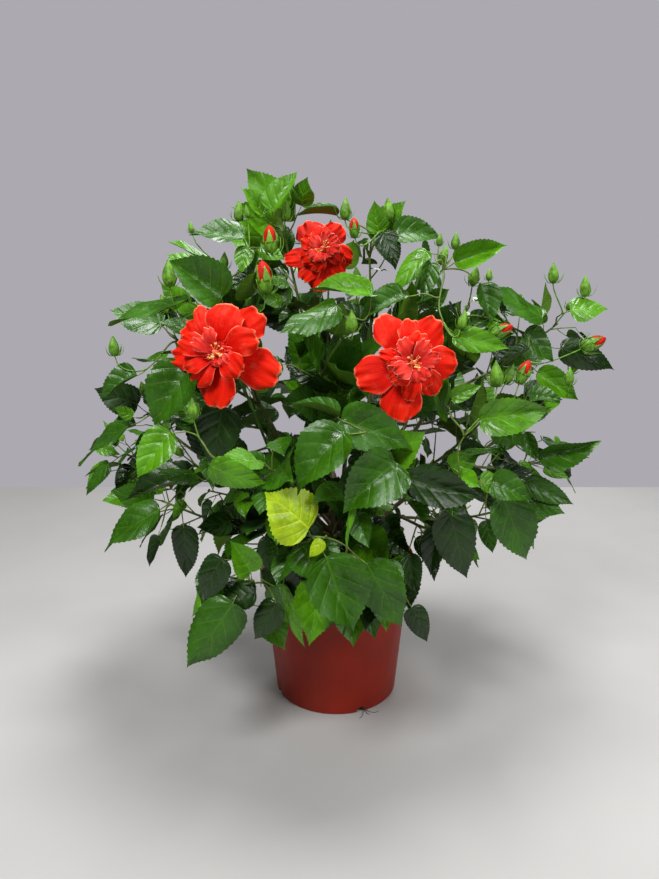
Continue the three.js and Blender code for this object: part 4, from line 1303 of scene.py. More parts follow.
class HIBISCUS_OT_pot(bpy.types.Operator):
    """Turns the nursery pot with its banded rim and cuts the drain slots"""

    bl_idname = "hibiscus.pot"
    bl_label = "Pot"

    def execute(self, context):
        given = context.scene.hibiscus_pot
        outline = pot_outline(*(v / MM for v in (given.height, given.rim_radius, given.foot_radius, given.wall)))
        points, faces = turned(outline, POT_SIDES)
        body = bpy.data.objects.new("pot_blank", mesh_of("pot_blank", points, faces, [pot_plastic(given.colour[:])]))
        cutter = bpy.data.objects.new("drain_cutter", drain_cutter())
        for made in (body, cutter):
            context.scene.collection.objects.link(made)
        cut = body.modifiers.new("drains", "BOOLEAN")
        cut.operation, cut.solver, cut.object = "DIFFERENCE", "EXACT", cutter
        mesh = applied(body)
        for made in (body, cutter):
            bpy.data.objects.remove(made)
        if len(mesh.polygons) < len(faces) // 2:
            raise RuntimeError("the drain slots could not be cut out of the pot")
        smooth_by_angle(mesh, 38)
        finish_piece("pot_moulding", mesh, ["pot"])
        return {"FINISHED"}


# ---- the potting mix ----
def potting_mix_finish(colour):
    """Damp peat and fine bark: almost black-brown, quite rough, with a slight sheen where it is wet."""
    material, tree, shader = new_material("damp_potting_mix", colour, Roughness=0.85, IOR=1.4)
    place = add_node(tree, "ShaderNodeTexCoord").outputs["Object"]
    crumbs = grain(tree, place, 2.5, 4, 0.7)
    patches = grain(tree, place, 14, 2)
    body = colour_mix(tree, spread(tree, crumbs, 0.35, 0.65), tuple(c * 0.45 for c in colour), tuple(c * 1.7 for c in colour))
    body = colour_mix(tree, spread(tree, patches, 0.45, 0.6, 0, 0.5), body, hex_colour("#4a3626"))
    tree.links.new(body, shader.inputs["Base Color"])
    tree.links.new(spread(tree, patches, 0.3, 0.7, 0.6, 0.95), shader.inputs["Roughness"])
    bump(tree, shader, crumbs, 1.2, 0.9)
    return material


def rough_pebble(seed, flatness):
    """A small chip of bark: a few-faced lump, knocked out of shape."""
    bm = bmesh.new()
    bmesh.ops.create_icosphere(bm, subdivisions=1, radius=1.0)
    roll = dice(seed)
    for vertex in bm.verts:
        vertex.co *= 0.7 + 0.5 * roll()
        vertex.co.z *= flatness
    mesh = bpy.data.meshes.new("chip")
    bm.to_mesh(mesh)
    bm.free()
    return mesh


class HIBISCUS_OT_potting_mix(bpy.types.Operator):
    """Fills the pot with potting mix, strews crumbs, bark chips and perlite over it, and lays fine roots out of a drain
    slot
    """

    bl_idname = "hibiscus.potting_mix"
    bl_label = "Potting mix"

    def execute(self, context):
        given = context.scene.hibiscus_pot
        foot, rim, height, wall = (v / MM for v in (given.foot_radius, given.rim_radius, given.height, given.wall))
        finish = potting_mix_finish(given.mix_colour[:])
        edge = pot_wall_radius(MIX_TOP, foot, rim, height) - wall - 0.7
        floor = wall + 0.3
        outline = [(0, floor), (pot_wall_radius(floor, foot, rim, height) - wall - 1.7, floor)]
        for share in (0.1, 0.25, 0.5, 0.75, 0.95):
            z = mix(floor, MIX_TOP, share)
            outline.append((pot_wall_radius(z, foot, rim, height) - wall - 0.7, z))
        outline += [(edge * s, MIX_TOP + 5 * clamp((1 - s) * 1.3)) for s in np.linspace(1, 0.04, 26)]
        outline.append((0, MIX_TOP + 5))
        points, faces = turned(outline, 96)
        for point in points:
            if point[2] > MIX_TOP - 6:
                lumps = noise.fractal(Vector(point) * 0.09, 0.9, 2.0, 4)
                room = clamp((edge - math.hypot(point[0], point[1])) / 6)
                point[2] += 2.6 * lumps * room - 1.0 * (1 - room)
        finish_piece("potting_mix_bed", mesh_of("potting_mix_bed", points, faces, [finish]), ["potting_mix"])

        bed, bed_faces = turned([(0, MIX_TOP + 5.2)] + [(edge * s, MIX_TOP + 5 * clamp((1 - s) * 1.3) + 0.4)
                                                        for s in (0.2, 0.5, 0.8, 0.95)] + [(0, MIX_TOP - 3)], 40)
        flipped = [face[::-1] for face in bed_faces]
        for name, seed, density, low, high, flat, code in (
            ("mix_crumbs", 3, 26000, 0.9, 2.4, 0.8, None),
            ("bark_chips", 8, 5200, 2.0, 4.6, 0.35, "#4b3524"),
            ("perlite_grains", 12, 1100, 1.0, 2.0, 0.9, "#c9c2b4"),
        ):
            skin = finish
            if code:
                skin = potting_mix_finish(hex_colour(code))
                skin.name = "shredded_bark" if name == "bark_chips" else "expanded_perlite"
            mesh = strewn(name, mesh_of(name, bed, flipped, []), rough_pebble(seed, flat), density, low * MM, high * MM,
                          seed, skin, False)
            finish_piece(name, mesh)

        roots = Joined()
        roll = dice(77)
        out = heading(DRAIN_FIRST_TURN + 3, 0)
        for k in range(3):
            drift = cross(UP, out) * mix(-1, 1, roll())
            route = [out * 97 + UP * 4, out * 102 + drift * 3 + UP * 2.2, out * 107 + drift * 8 + UP * 0.7,
                     out * 112 + drift * 15 + UP * 0.6, out * (112 + 5 * roll()) + drift * 24 + UP * 0.6]
            line = resampled(route, 4)
            add_tube(roots, line, np.linspace(0.55, 0.3, len(line)), 5)
        lump = resampled([out * 97 + UP * 4, out * 100 + UP * 4.6, out * 103 + UP * 2.6], 4)
        add_tube(roots, lump, 3.4 * np.sin(np.linspace(0.5, 2.9, len(lump))), 9)
        finish_piece("rootlets", roots.mesh("rootlets", [finish]))
        return {"FINISHED"}


# ---- stem, boughs and twigs ----
def bark_finish(name, old, young):
    """Thin hibiscus bark: grey-brown with long fine furrows and pale breathing spots, fading to this year's green."""
    material, tree, shader = new_material(name, old, Roughness=0.8, IOR=1.45)
    place = add_node(tree, "ShaderNodeTexCoord").outputs["Object"]
    furrows = grain(tree, place, 2.4, 5, 0.65, (1, 1, 0.22))
    patches = grain(tree, place, 17, 3)
    spots = add_node(tree, "ShaderNodeTexVoronoi", {"Vector": place, "Scale": 1 / (5 * MM)}).outputs["Distance"]
    spot = spread(tree, spots, 0.1, 0.22, 1, 0)
    age = add_node(tree, "ShaderNodeAttribute", attribute_name="age").outputs["Fac"]
    wood = colour_mix(tree, spread(tree, furrows, 0.35, 0.62), tuple(c * 0.42 for c in old), tuple(c * 1.25 for c in old))
    wood = colour_mix(tree, spread(tree, patches, 0.42, 0.7, 0, 0.55), wood, hex_colour("#4d5230"))
    wood = colour_mix(tree, math_of(tree, "MULTIPLY", spot, 0.5), wood, hex_colour("#a3937a"))
    green = colour_mix(tree, spread(tree, patches, 0.3, 0.7), young, tuple(c * 0.6 for c in young))
    body = colour_mix(tree, age, green, wood)
    tree.links.new(body, shader.inputs["Base Color"])
    tree.links.new(spread(tree, age, 0, 1, 0.45, 0.85), shader.inputs["Roughness"])
    height = math_of(tree, "ADD", furrows, math_of(tree, "MULTIPLY", spot, 0.4))
    bump(tree, shader, height, 0.6, 0.7)
    return material


def furrow(point, around, along):
    """Relief of the bark from 0 to 1: long ridges that split and join."""
    fine = noise.fractal(Vector((around * 2.6, along * 0.05, point[0] * 0.01)), 0.7, 2.2, 4)
    return 1 - abs(fine) * 2.2


class HIBISCUS_OT_limbs(bpy.types.Operator):
    """Builds the woody stem and the boughs with the relief of their bark"""

    bl_idname = "hibiscus.limbs"
    bl_label = "Stem and boughs"

    def execute(self, context):
        given = context.scene.hibiscus_limbs
        relief = given.relief / MM
        plant = grown()
        bark = bark_finish("hibiscus_bark", given.bark_colour[:], given.young_colour[:])

        sides, rings = 72, 84
        heights = np.linspace(MIX_TOP + 3.2, STEM.top, rings)
        points = []
        for z in heights:
            waist = mix(STEM.waist, STEM.top_radius, stem_share(z))
            buttress = 0.12 * (stem_radius(z) / waist - 1)
            dome = math.sqrt(max(0.02, 1 - max(0.0, (z - STEM.top + 7) / 7) ** 2))
            for k in range(sides):
                turn = 2 * math.pi * k / sides
                out = np.array([math.cos(turn), math.sin(turn), 0.0])
                ridge = furrow(out * 40, turn * 2.2 + math.sin(turn), z)
                ring_scar = 0.5 * math.exp(-(((z % 27) - 13) / 1.3) ** 2)
                radius = stem_radius(z) * (1 + buttress * math.cos(5 * turn)) * dome
                points.append(stem_centre(z) + out * (radius - 0.4 + relief * (ridge - 0.5) + ring_scar * 0.6))
        stem = Joined()
        stem.add(np.array(points), ring_faces(rings, sides), numbers=np.full(len(points), 1.0))
        finish_piece("stem_bark", stem.mesh("stem_bark", [bark]), ["stem"])

        boughs = Joined()
        for plan in plant.plans:
            root, bend, back, fork = plan.bends
            route = bezier(root - plan.root_way * 4, bend, back, fork + plan.end_way * 0.6, 52)
            shares = np.linspace(0, 1, len(route))
            radii = mix(BOUGH.root, BOUGH.tip, shares)
            collar = 1 + 0.75 * np.exp(-shares * 22) + 0.16 * np.exp(-((1 - shares) * 20) ** 2)
            knuckles = 0.22 * np.exp(-(((shares * 9 + len(plan.name) * 0.3) % 1 - 0.5) / 0.09) ** 2)
            surface = tube(route, radii * collar + knuckles, 16)
            centres = np.repeat(route, 16, axis=0)
            for i, (point, centre) in enumerate(zip(surface, centres)):
                rough = noise.fractal(Vector(point) * 0.35, 0.8, 2.1, 3)
                surface[i] = point + unit(point - centre) * 0.28 * rough
            ages = np.repeat(1 - 0.35 * shares, 16)
            boughs.add(surface, ring_faces(len(route), 16), numbers=ages)
        finish_piece("boughs_bark", boughs.mesh("boughs_bark", [bark]), [f"bough_{name}" for name in BOUGHS])
        return {"FINISHED"}


class HIBISCUS_OT_twigs(bpy.types.Operator):
    """Builds the leaders, side twigs and leaf stalks"""

    bl_idname = "hibiscus.twigs"
    bl_label = "Twigs and leaf stalks"

    def execute(self, context):
        given = context.scene.hibiscus_limbs
        plant = grown()
        bark = bark_finish("young_hibiscus_bark", given.bark_colour[:], given.young_colour[:])
        twigs, stalks = Joined(), Joined()
        ended = set()
        for shoot in plant.shoots:
            thick = shoot.radii[0] > 2
            line = resampled(shoot.route, 8 if thick else 4)
            if thick:
                line = np.vstack([line[0] - unit(line[1] - line[0]) * 4, line])
            shares = np.linspace(0, 1, len(line))
            radii = mix(shoot.radii[0], shoot.radii[1], shares)
            nodes_along = 0.16 * np.exp(-(((shares * (6 if thick else 3)) % 1 - 0.5) / 0.1) ** 2)
            first_age = 0.75 if thick else 0.3
            add_tube(twigs, line, radii * (1 + nodes_along), 8 if thick else 6, mix(first_age, 0.0, shares**0.8))
            if shoot.end_leaf is not None:
                ended.add(id(shoot.end_leaf))
                self.stalk(stalks, shoot.end_leaf, shoot.radii[1])
        for leaf in plant.leaves:
            if id(leaf) not in ended:
                self.stalk(stalks, leaf, 1.25)
        finish_piece("twigs", twigs.mesh("twigs", [bark]), FOLIAGE_NODES)
        green = stalk_finish(given.young_colour[:])
        finish_piece("leaf_stalks", stalks.mesh("leaf_stalks", [green]), FOLIAGE_NODES)
        return {"FINISHED"}

    @staticmethod
    def stalk(joined, leaf, start_radius):
        """A leaf stalk that bows down a little and thickens at both ends."""
        chord = leaf.heel - leaf.node
        far = length_of(chord)
        if far < 1:
            return
        into = leaf.heel + leaf.spine * leaf.size * 0.03 - leaf.normal * leaf.size * 0.004
        middle = (leaf.node + leaf.heel) / 2 - UP * far * 0.07
        line = resampled([leaf.node, middle, into], 3)
        thick = max(0.5, min(1.0, leaf.size / 80))
        radii = np.array([max(start_radius, 1.2), 0.95, 0.85, 0.8, 0.85, 0.95, 0.8]) * thick
        add_tube(joined, line, radii, 6)


def stalk_finish(colour):
    """Leaf stalks: smooth, soft green, with a little bronze in patches."""
    material, tree, shader = new_material("green_leaf_stalk", colour, Roughness=0.5, IOR=1.42)
    place = add_node(tree, "ShaderNodeTexCoord").outputs["Object"]
    patches = grain(tree, place, 11, 2)
    body = colour_mix(tree, spread(tree, patches, 0.35, 0.7), colour, hex_colour("#5f5a2a"))
    body = colour_mix(tree, spread(tree, grain(tree, place, 3, 2), 0.4, 0.7, 0, 0.4), body, tuple(c * 1.4 for c in colour))
    tree.links.new(body, shader.inputs["Base Color"])
    bump(tree, shader, grain(tree, place, 0.9, 3), 0.15, 0.5)
    return material


# ---- leaves ----
# Along the blade, from heel to tip: where each row meets the midrib, and where it meets the margin along and across.
# Every third row is a vein. From the heel three pairs fan out, and past the widest part each row ends in a tooth.
ROW_MIDRIB = (0, 0.006, 0.012, 0.018, 0.024, 0.03, 0.036, 0.09, 0.16, 0.23, 0.305, 0.38, 0.455, 0.54, 0.63, 0.72,
              0.81, 0.9, 1)
MARGIN_ALONG = (0, -0.014, 0.004, 0.06, 0.135, 0.215, 0.3, 0.375, 0.45, 0.525, 0.6, 0.67, 0.735, 0.792, 0.842, 0.885,
                0.924, 0.962, 1)
MARGIN_ACROSS = (0, 0.27, 0.55, 0.79, 0.93, 0.99, 1, 0.98, 0.94, 0.87, 0.775, 0.66, 0.53, 0.4, 0.28, 0.185, 0.105,
                 0.045, 0)
COLUMNS = (-1, -0.66, -0.32, 0, 0.32, 0.66, 1)
ROWS = len(ROW_MIDRIB)
VEIN_STEP = 3


def blade_faces():
    """Faces of one blade: a quilted upper side and a plainer underside that share the margin."""
    width = len(COLUMNS)
    inner = ROWS - 2
    tip = 1 + inner * width
    below = tip + 1
    notches = below + inner

    def at(row, column):
        return 1 + (row - 1) * width + column

    def under(row):
        return below + row - 1

    def notch(row, side):
        return notches + (row - 1) * 2 + side

    top, bottom = [], []
    for c in range(width - 1):
        top.append([0, at(1, c), at(1, c + 1)])
        top.append([tip, at(inner, c + 1), at(inner, c)])
        for r in range(1, inner):
            first = [at(r, c), notch(r, 0), at(r + 1, c)] if c == 0 else [at(r, c), at(r + 1, c)]
            last = [at(r + 1, c + 1), at(r, c + 1)]
            if c == width - 2:
                last.insert(1, notch(r, 1))
            top.append(first + last)
    left, right = 0, width - 1
    bottom.append([0, under(1), at(1, left)])
    bottom.append([0, at(1, right), under(1)])
    bottom.append([tip, at(inner, left), under(inner)])
    bottom.append([tip, under(inner), at(inner, right)])
    for r in range(1, inner):
        bottom.append([at(r, left), under(r), under(r + 1), at(r + 1, left), notch(r, 0)])
        bottom.append([under(r), at(r, right), notch(r, 1), at(r + 1, right), under(r + 1)])
    rim = np.zeros(notches + 2 * (inner - 1), bool)
    rim[[0, tip]] = True
    rim[notches:] = True
    for r in range(1, inner + 1):
        rim[[at(r, left), at(r, right)]] = True
    return top, bottom, rim


def blade_points(leaf, roll, quilting, teeth):
    """One blade's points, with its own fold, arch, waves and twist."""
    bend = own_bend(roll)
    if leaf.bend is PLAIN_BEND:
        bend.drop = 0.03 + 0.3 * bend.drop
        bend.fold, bend.arch = LEAF_FOLD + bend.drop, LEAF_ARCH + 0.3 * (bend.arch - LEAF_ARCH)
        bend.twist *= 0.3
    else:
        bend = leaf.bend
    wave, phase = mix(0.012, 0.034, roll()), 6.28 * roll()
    tip_curl = mix(-0.06, 0.14, roll())
    lean = 0.05 * (roll() - 0.5)
    rows = np.arange(1, ROWS - 1)
    mid = np.array(ROW_MIDRIB)[1:-1, None]
    along = np.array(MARGIN_ALONG)[1:-1].copy()
    across = np.array(MARGIN_ACROSS)[1:-1].copy()
    toothed = np.clip((rows - 3) / 2, 0, 1) * np.minimum(1, across * 2.2)
    across += teeth * toothed
    along += 0.012 * toothed
    t = np.abs(np.array(COLUMNS))[None, :]
    sign = np.sign(np.array(COLUMNS))[None, :]
    u = mid + (along[:, None] - mid) * t**1.12
    v = across[:, None] * t
    between = np.sin(math.pi * rows / VEIN_STEP) ** 2
    swell = quilting * between[:, None] * np.sin(math.pi * np.clip(t, 0, 1) ** 0.8) * np.minimum(1, 1.4 * v)
    margin = along[:, None]
    ripple = wave * np.sin(8.5 * margin + phase + sign * 1.7) * t**1.25
    ripple = ripple + wave * 0.3 * np.sin(19 * margin + 2 * phase - sign) * t**1.5
    z = bend.fold * v - bend.arch * u**2 - bend.drop * v**2 + swell + ripple - tip_curl * np.clip(u - 0.7, 0, 1) ** 2 * 3
    y = v * sign * leaf.width / 2 + lean * np.sin(3 * u)
    heel_row = np.array([[0.0, 0.0, 0.0]])
    tip_row = np.array([[1.0, lean * math.sin(3), -bend.arch - tip_curl * 0.27]])
    grid = np.stack([u, y, z], axis=-1).reshape(-1, 3)
    edges = grid.reshape(len(rows), len(COLUMNS), 3)[:, [0, -1]]
    notches = mix(edges[:-1], edges[1:], 0.5)
    half = (across[:-1] + across[1:]) / 2
    depth = 1 - 0.85 * teeth * (toothed[:-1] + toothed[1:]) / np.maximum(0.1, half)
    notches[..., 1] *= depth[:, None]
    notches[..., 2] -= (half * (1 - depth) * (bend.fold - bend.drop * half * (1 + depth)))[:, None]
    notches[..., 0] -= 0.008 * toothed[:-1, None]
    middle = grid.reshape(len(rows), len(COLUMNS), 3)[:, len(COLUMNS) // 2]
    under = middle - np.array([0, 0, 0.014])
    local = np.vstack([heel_row, grid, tip_row, under, notches.reshape(-1, 3)])
    row = mid[:, 0]
    turn = bend.twist * np.concatenate(
        [[0], np.repeat(row, len(COLUMNS)), [1], row, np.repeat((row[:-1] + row[1:]) / 2, 2)]
    )
    y, z = local[:, 1].copy(), local[:, 2].copy()
    local[:, 1] = y * np.cos(turn) - z * np.sin(turn)
    local[:, 2] = y * np.sin(turn) + z * np.cos(turn)
    axes = np.stack([leaf.spine, leaf.side, leaf.normal])
    return leaf.heel + (local * leaf.size) @ axes


def blade_uv():
    """Row number along the blade and distance from the midrib, for the veins."""
    rows = np.repeat(np.arange(1, ROWS - 1) / (ROWS - 1), len(COLUMNS))
    columns = np.tile(np.abs(COLUMNS), ROWS - 2)
    inner = np.stack([rows, columns], axis=-1)
    under = np.stack([np.arange(1, ROWS - 1) / (ROWS - 1), np.zeros(ROWS - 2)], axis=-1)
    notches = np.stack([np.repeat((np.arange(1, ROWS - 2) + 0.5) / (ROWS - 1), 2), np.ones(2 * (ROWS - 3))], axis=-1)
    return np.vstack([[[0, 0]], inner, [[1, 0]], under, notches])


def vein_mask(tree):
    """1 on the midrib and the side veins, 0 between them, and the distance from the nearest side vein."""
    seen = add_node(tree, "ShaderNodeTexCoord").outputs["UV"]
    parts = add_node(tree, "ShaderNodeSeparateXYZ", {0: seen})
    row = math_of(tree, "MULTIPLY", parts.outputs["X"], float(ROWS - 1))
    off_vein = math_of(tree, "PINGPONG", row, VEIN_STEP / 2)
    side = spread(tree, off_vein, 0.05, 0.2, 1, 0)
    side = math_of(tree, "MULTIPLY", side, spread(tree, parts.outputs["Y"], 0.55, 1.0, 1, 0.1))
    midrib = spread(tree, parts.outputs["Y"], 0.015, 0.06, 1, 0)
    return math_of(tree, "MAXIMUM", side, midrib), off_vein


def leaf_upper_finish(name, colour):
    """Upper side of a hibiscus leaf: waxy and glossy, puckered between sunken veins that are a little paler."""
    material, tree, shader = new_material(name, colour, Roughness=0.26, IOR=1.42)
    place = add_node(tree, "ShaderNodeTexCoord").outputs["Object"]
    vein, off_vein = vein_mask(tree)
    cells = grain(tree, place, 4.2, 2, 0.5)
    fine = grain(tree, place, 1.3, 2, 0.5)
    blotch = grain(tree, place, 34, 2)
    paler = tuple(min(1, c * f + a) for c, f, a in zip(colour, (1.7, 1.45, 1.3), (0.02, 0.03, 0.004)))
    darker = tuple(c * 0.6 for c in colour)
    body = colour_mix(tree, spread(tree, blotch, 0.32, 0.68), darker, colour)
    body = colour_mix(tree, spread(tree, cells, 0.45, 0.75, 0, 0.3), body, paler)
    body = colour_mix(tree, math_of(tree, "MULTIPLY", vein, 0.42), body, paler)
    tree.links.new(body, shader.inputs["Base Color"])
    tree.links.new(spread(tree, blotch, 0.3, 0.7, 0.24, 0.4), shader.inputs["Roughness"])
    swell = spread(tree, off_vein, 0, 0.9)
    height = math_of(tree, "SUBTRACT", swell, math_of(tree, "MULTIPLY", vein, 0.35))
    height = math_of(tree, "ADD", height, math_of(tree, "MULTIPLY", cells, 1.0))
    height = math_of(tree, "ADD", height, math_of(tree, "MULTIPLY", fine, 0.2))
    bump(tree, shader, height, 0.8, 0.6)
    return material


def leaf_under_finish(name, colour):
    """Underside of a leaf: paler and matt, with the veins standing out."""
    matt = tuple(mix(c, g, 0.4) for c, g in zip(colour, hex_colour("#6b8a28")))
    material, tree, shader = new_material(name, matt, Roughness=0.6, IOR=1.4)
    place = add_node(tree, "ShaderNodeTexCoord").outputs["Object"]
    vein, _ = vein_mask(tree)
    cells = grain(tree, place, 3.2, 3, 0.6)
    body = colour_mix(tree, spread(tree, cells, 0.35, 0.7, 0, 0.5), matt, tuple(c * 0.75 for c in matt))
    body = colour_mix(tree, math_of(tree, "MULTIPLY", vein, 0.35), body, hex_colour("#8ea553"))
    tree.links.new(body, shader.inputs["Base Color"])
    bump(tree, shader, math_of(tree, "ADD", vein, math_of(tree, "MULTIPLY", cells, 0.4)), 0.6, 0.6)
    return material


class HIBISCUS_OT_leaves(bpy.types.Operator):
    """Hangs a toothed, quilted blade on every leaf stalk, one piece for each tone"""

    bl_idname = "hibiscus.leaves"
    bl_label = "Leaves"

    def execute(self, context):
        given = context.scene.hibiscus_leaves
        plant = grown()
        top, bottom, rim = blade_faces()
        faces, uv = top + bottom, blade_uv()
        slots = [0] * len(top) + [1] * len(bottom)
        count = len(rim)
        for tone in ("deep", "mid", "fresh", "lime"):
            leaves = [leaf for leaf in plant.leaves if leaf.tone == tone]
            if not leaves:
                raise RuntimeError(f"no leaf was dealt the tone {tone}")
            colour = getattr(given, tone)[:]
            finishes = [leaf_upper_finish(f"waxy_leaf_{tone}", colour), leaf_under_finish(f"matt_underleaf_{tone}", colour)]
            points = [blade_points(leaf, dice(5000 + i), given.quilting, given.teeth) for i, leaf in enumerate(leaves)]
            all_faces = [[i + count * k for i in face] for k in range(len(leaves)) for face in faces]
            name = f"leaves_{tone}"
            mesh = mesh_of(name, np.vstack(points), all_faces, finishes, slots * len(leaves),
                           np.tile(uv, (len(leaves), 1)), np.tile(rim, len(leaves)))
            finish_piece(name, mesh, FOLIAGE_NODES)
        return {"FINISHED"}


# ---- buds ----
# Radius along a bud, both as shares of its length: the calyx of a shut bud, the calyx of one that opens, and the
# furled petals that stand out of it.
SHUT_CALYX = ((0, 0.04), (0.03, 0.1), (0.1, 0.17), (0.22, 0.225), (0.38, 0.24), (0.55, 0.21), (0.7, 0.155),
              (0.83, 0.095), (0.93, 0.045), (1, 0.01))
OPEN_CALYX = ((0, 0.04), (0.03, 0.1), (0.1, 0.16), (0.2, 0.21), (0.3, 0.235), (0.4, 0.25), (0.48, 0.245))
FURLED_PETALS = ((0.3, 0.17), (0.45, 0.225), (0.58, 0.235), (0.7, 0.215), (0.8, 0.175), (0.89, 0.12), (0.96, 0.06),
                 (1.0, 0.012))


def add_ribbed_body(joined, foot, way, profile, length, ribs, depth, spiral, sides=20):
    """A closed pointed body with ribs that may wind round it."""
    across, other = square_to(way)
    points, uv = [], []
    for share, radius in profile:
        for k in range(sides):
            turn = 2 * math.pi * k / sides
            crest = math.cos(ribs * (turn + spiral * share))
            r = radius * length * (1 + depth * crest)
            points.append(foot + way * share * length + (across * math.cos(turn) + other * math.sin(turn)) * r)
            uv.append((0.9 * share, 0.6 + 0.4 * crest))
    joined.add(np.array(points), ring_faces(len(profile), sides), np.array(uv))


def add_sepal_tips(joined, foot, way, length):
    """Five pointed lobes at the mouth of an opening calyx, lying on the petals."""
    across, other = square_to(way)
    for k in range(5):
        turn = 2 * math.pi * k / 5
        out = across * math.cos(turn) + other * math.sin(turn)
        line = np.array([foot + (way * s + out * r) * length for s, r in ((0.4, 0.25), (0.53, 0.25), (0.68, 0.236),
                                                                          (0.84, 0.178))])
        line = resampled(line, 2)
        radii = np.array([0.12, 0.12, 0.105, 0.085, 0.06, 0.035, 0.008]) * length
        add_tube(joined, line, radii, 8, flat=0.16, across=cross(way, out))


def add_bractlets(joined, foot, way, scale, count, roll):
    """Thin leafy bractlets that curl out from the foot of a calyx."""
    across, other = square_to(way)
    for k in range(count):
        turn = 2 * math.pi * (k + 0.3 * roll()) / count
        out = across * math.cos(turn) + other * math.sin(turn)
        side = cross(way, out)
        reach = mix(11, 17, roll()) * scale
        line = np.array([foot + way * 0.6 * scale + out * 2 * scale,
                         foot + way * 1.5 * scale + out * (2 + reach * 0.35),
                         foot + way * (1.5 * scale + reach * 0.35) + out * (2 + reach * 0.62),
                         foot + way * (1.5 * scale + reach * 0.85) + out * (2 + reach * mix(0.6, 0.95, roll()))])
        line = resampled(line, 2)
        radii = np.array([0.6, 0.95, 1.1, 1.0, 0.8, 0.5, 0.2]) * scale
        add_tube(joined, line, radii, 6, flat=0.35, across=side)


def calyx_finish(colour):
    """Calyx and bractlets: leafy green, slightly downy, ribbed."""
    material, tree, shader = new_material("downy_green_calyx", colour, Roughness=0.55, IOR=1.42)
    place = add_node(tree, "ShaderNodeTexCoord").outputs["Object"]
    patches = grain(tree, place, 7, 3)
    body = colour_mix(tree, spread(tree, patches, 0.35, 0.65), tuple(c * 0.6 for c in colour), tuple(c * 1.3 for c in colour))
    tree.links.new(body, shader.inputs["Base Color"])
    bump(tree, shader, grain(tree, place, 1.1, 3), 0.25, 0.6)
    return material


class HIBISCUS_OT_buds(bpy.types.Operator):
    """Sets ribbed green buds on their stalks, some with the petals showing"""

    bl_idname = "hibiscus.buds"
    bl_label = "Buds"

    def execute(self, context):
        plant = grown()
        green, red = Joined(), Joined()
        for index, bud in enumerate(plant.buds):
            roll = dice(7000 + index)
            if hasattr(bud, "route"):
                line, foot = bud.route, bud.foot
            else:
                foot = bud.start + bud.way * BUD_STALK * bud.size
                bow = square_to(bud.way)[0] * 3
                line = bezier(bud.start, bud.start + bud.way * 8 + bow, foot - bud.way * 10 + bow * 0.5, foot, 6)
            length = BUD_LENGTH * bud.size
            add_tube(green, line, np.linspace(1.15, 0.85, len(line)), 6)
            if bud.petals:
                add_ribbed_body(green, foot, bud.way, OPEN_CALYX, length, 5, 0.07, 0.3)
                add_sepal_tips(green, foot, bud.way, length)
                add_ribbed_body(red, foot, bud.way, FURLED_PETALS, length, 4, 0.13, 2.2, 28)
            else:
                add_ribbed_body(green, foot, bud.way, SHUT_CALYX, length, 5, 0.1, 0.4)
            add_bractlets(green, foot, bud.way, bud.size, 7, roll)
        leafy = calyx_finish(hex_colour("#5f8f22"))
        finish_piece("buds", green.mesh("buds", [leafy]), FOLIAGE_NODES)
        petal = petal_finish("furled_petal", hex_colour("#c41f14"), hex_colour("#f08a76"))
        finish_piece("bud_petals", red.mesh("bud_petals", [petal]))
        return {"FINISHED"}


# ---- blooms ----
PETAL_ROWS = 22
PETAL_COLUMNS = 25
# Half width of a petal along its length, both as shares of the whole.
PETAL_SHARES = (0, 0.1, 0.22, 0.36, 0.5, 0.64, 0.78, 0.9, 1)
PETAL_WIDTHS = (0.13, 0.22, 0.42, 0.66, 0.86, 0.97, 1, 0.95, 0.8)
# The petals of each bloom from the back forwards: turn about the face, length and width as shares of the bloom's
# radius, lift towards the viewer, and how far they stand in front of the neck as a share of the radius.
PETALS = {
    "left": (
        (-18, 1.1, 0.72, 0.1, 0), (50, 1.02, 0.64, 0.12, 0.01), (142, 0.92, 0.62, 0.16, 0.02),
        (182, 0.94, 0.54, 0.12, 0.03), (267, 0.93, 0.7, 0.12, 0.02), (118, 0.98, 0.3, 0.3, 0.04),
        (80, 0.88, 0.66, 0.3, 0.08), (21, 0.78, 0.52, 0.5, 0.12), (-36, 0.6, 0.48, 0.55, 0.14),
        (232, 0.68, 0.5, 0.36, 0.1), (163, 0.72, 0.44, 0.45, 0.12), (204, 0.64, 0.42, 0.4, 0.14),
    ),
    "right": (
        (118, 1.1, 0.68, 0.12, 0), (54, 1.08, 0.68, 0.12, 0.01), (2, 0.98, 0.66, 0.16, 0.02),
        (195, 1.06, 0.78, 0.1, 0.01), (257, 1.12, 0.8, 0.1, 0.02), (-43, 0.8, 0.5, 0.22, 0.04),
        (88, 0.86, 0.56, 0.34, 0.08), (72, 0.6, 0.5, 0.6, 0.13), (163, 0.68, 0.3, 0.5, 0.1),
        (222, 0.55, 0.44, 0.6, 0.12), (268, 0.72, 0.36, 0.4, 0.1), (-54, 0.56, 0.4, 0.5, 0.12),
    ),
    "top": (
        (119, 0.98, 0.84, 0.14, 0), (57, 0.95, 0.66, 0.16, 0.01), (-11, 0.84, 0.62, 0.2, 0.02),
        (192, 1.04, 0.56, 0.12, 0.02), (233, 0.92, 0.64, 0.16, 0.03), (267, 1.04, 0.74, 0.14, 0.03),
        (-48, 0.82, 0.6, 0.24, 0.04), (92, 0.66, 0.56, 0.5, 0.1), (150, 0.62, 0.5, 0.5, 0.12),
        (205, 0.62, 0.5, 0.55, 0.12), (250, 0.6, 0.48, 0.55, 0.14), (-20, 0.6, 0.5, 0.6, 0.14),
    ),
}
# How many small crumpled petals stand round the stamens, and how long they are as a share of the radius.
PETALOIDS = {"left": (10, 0.33), "right": (13, 0.44), "top": (18, 0.42)}


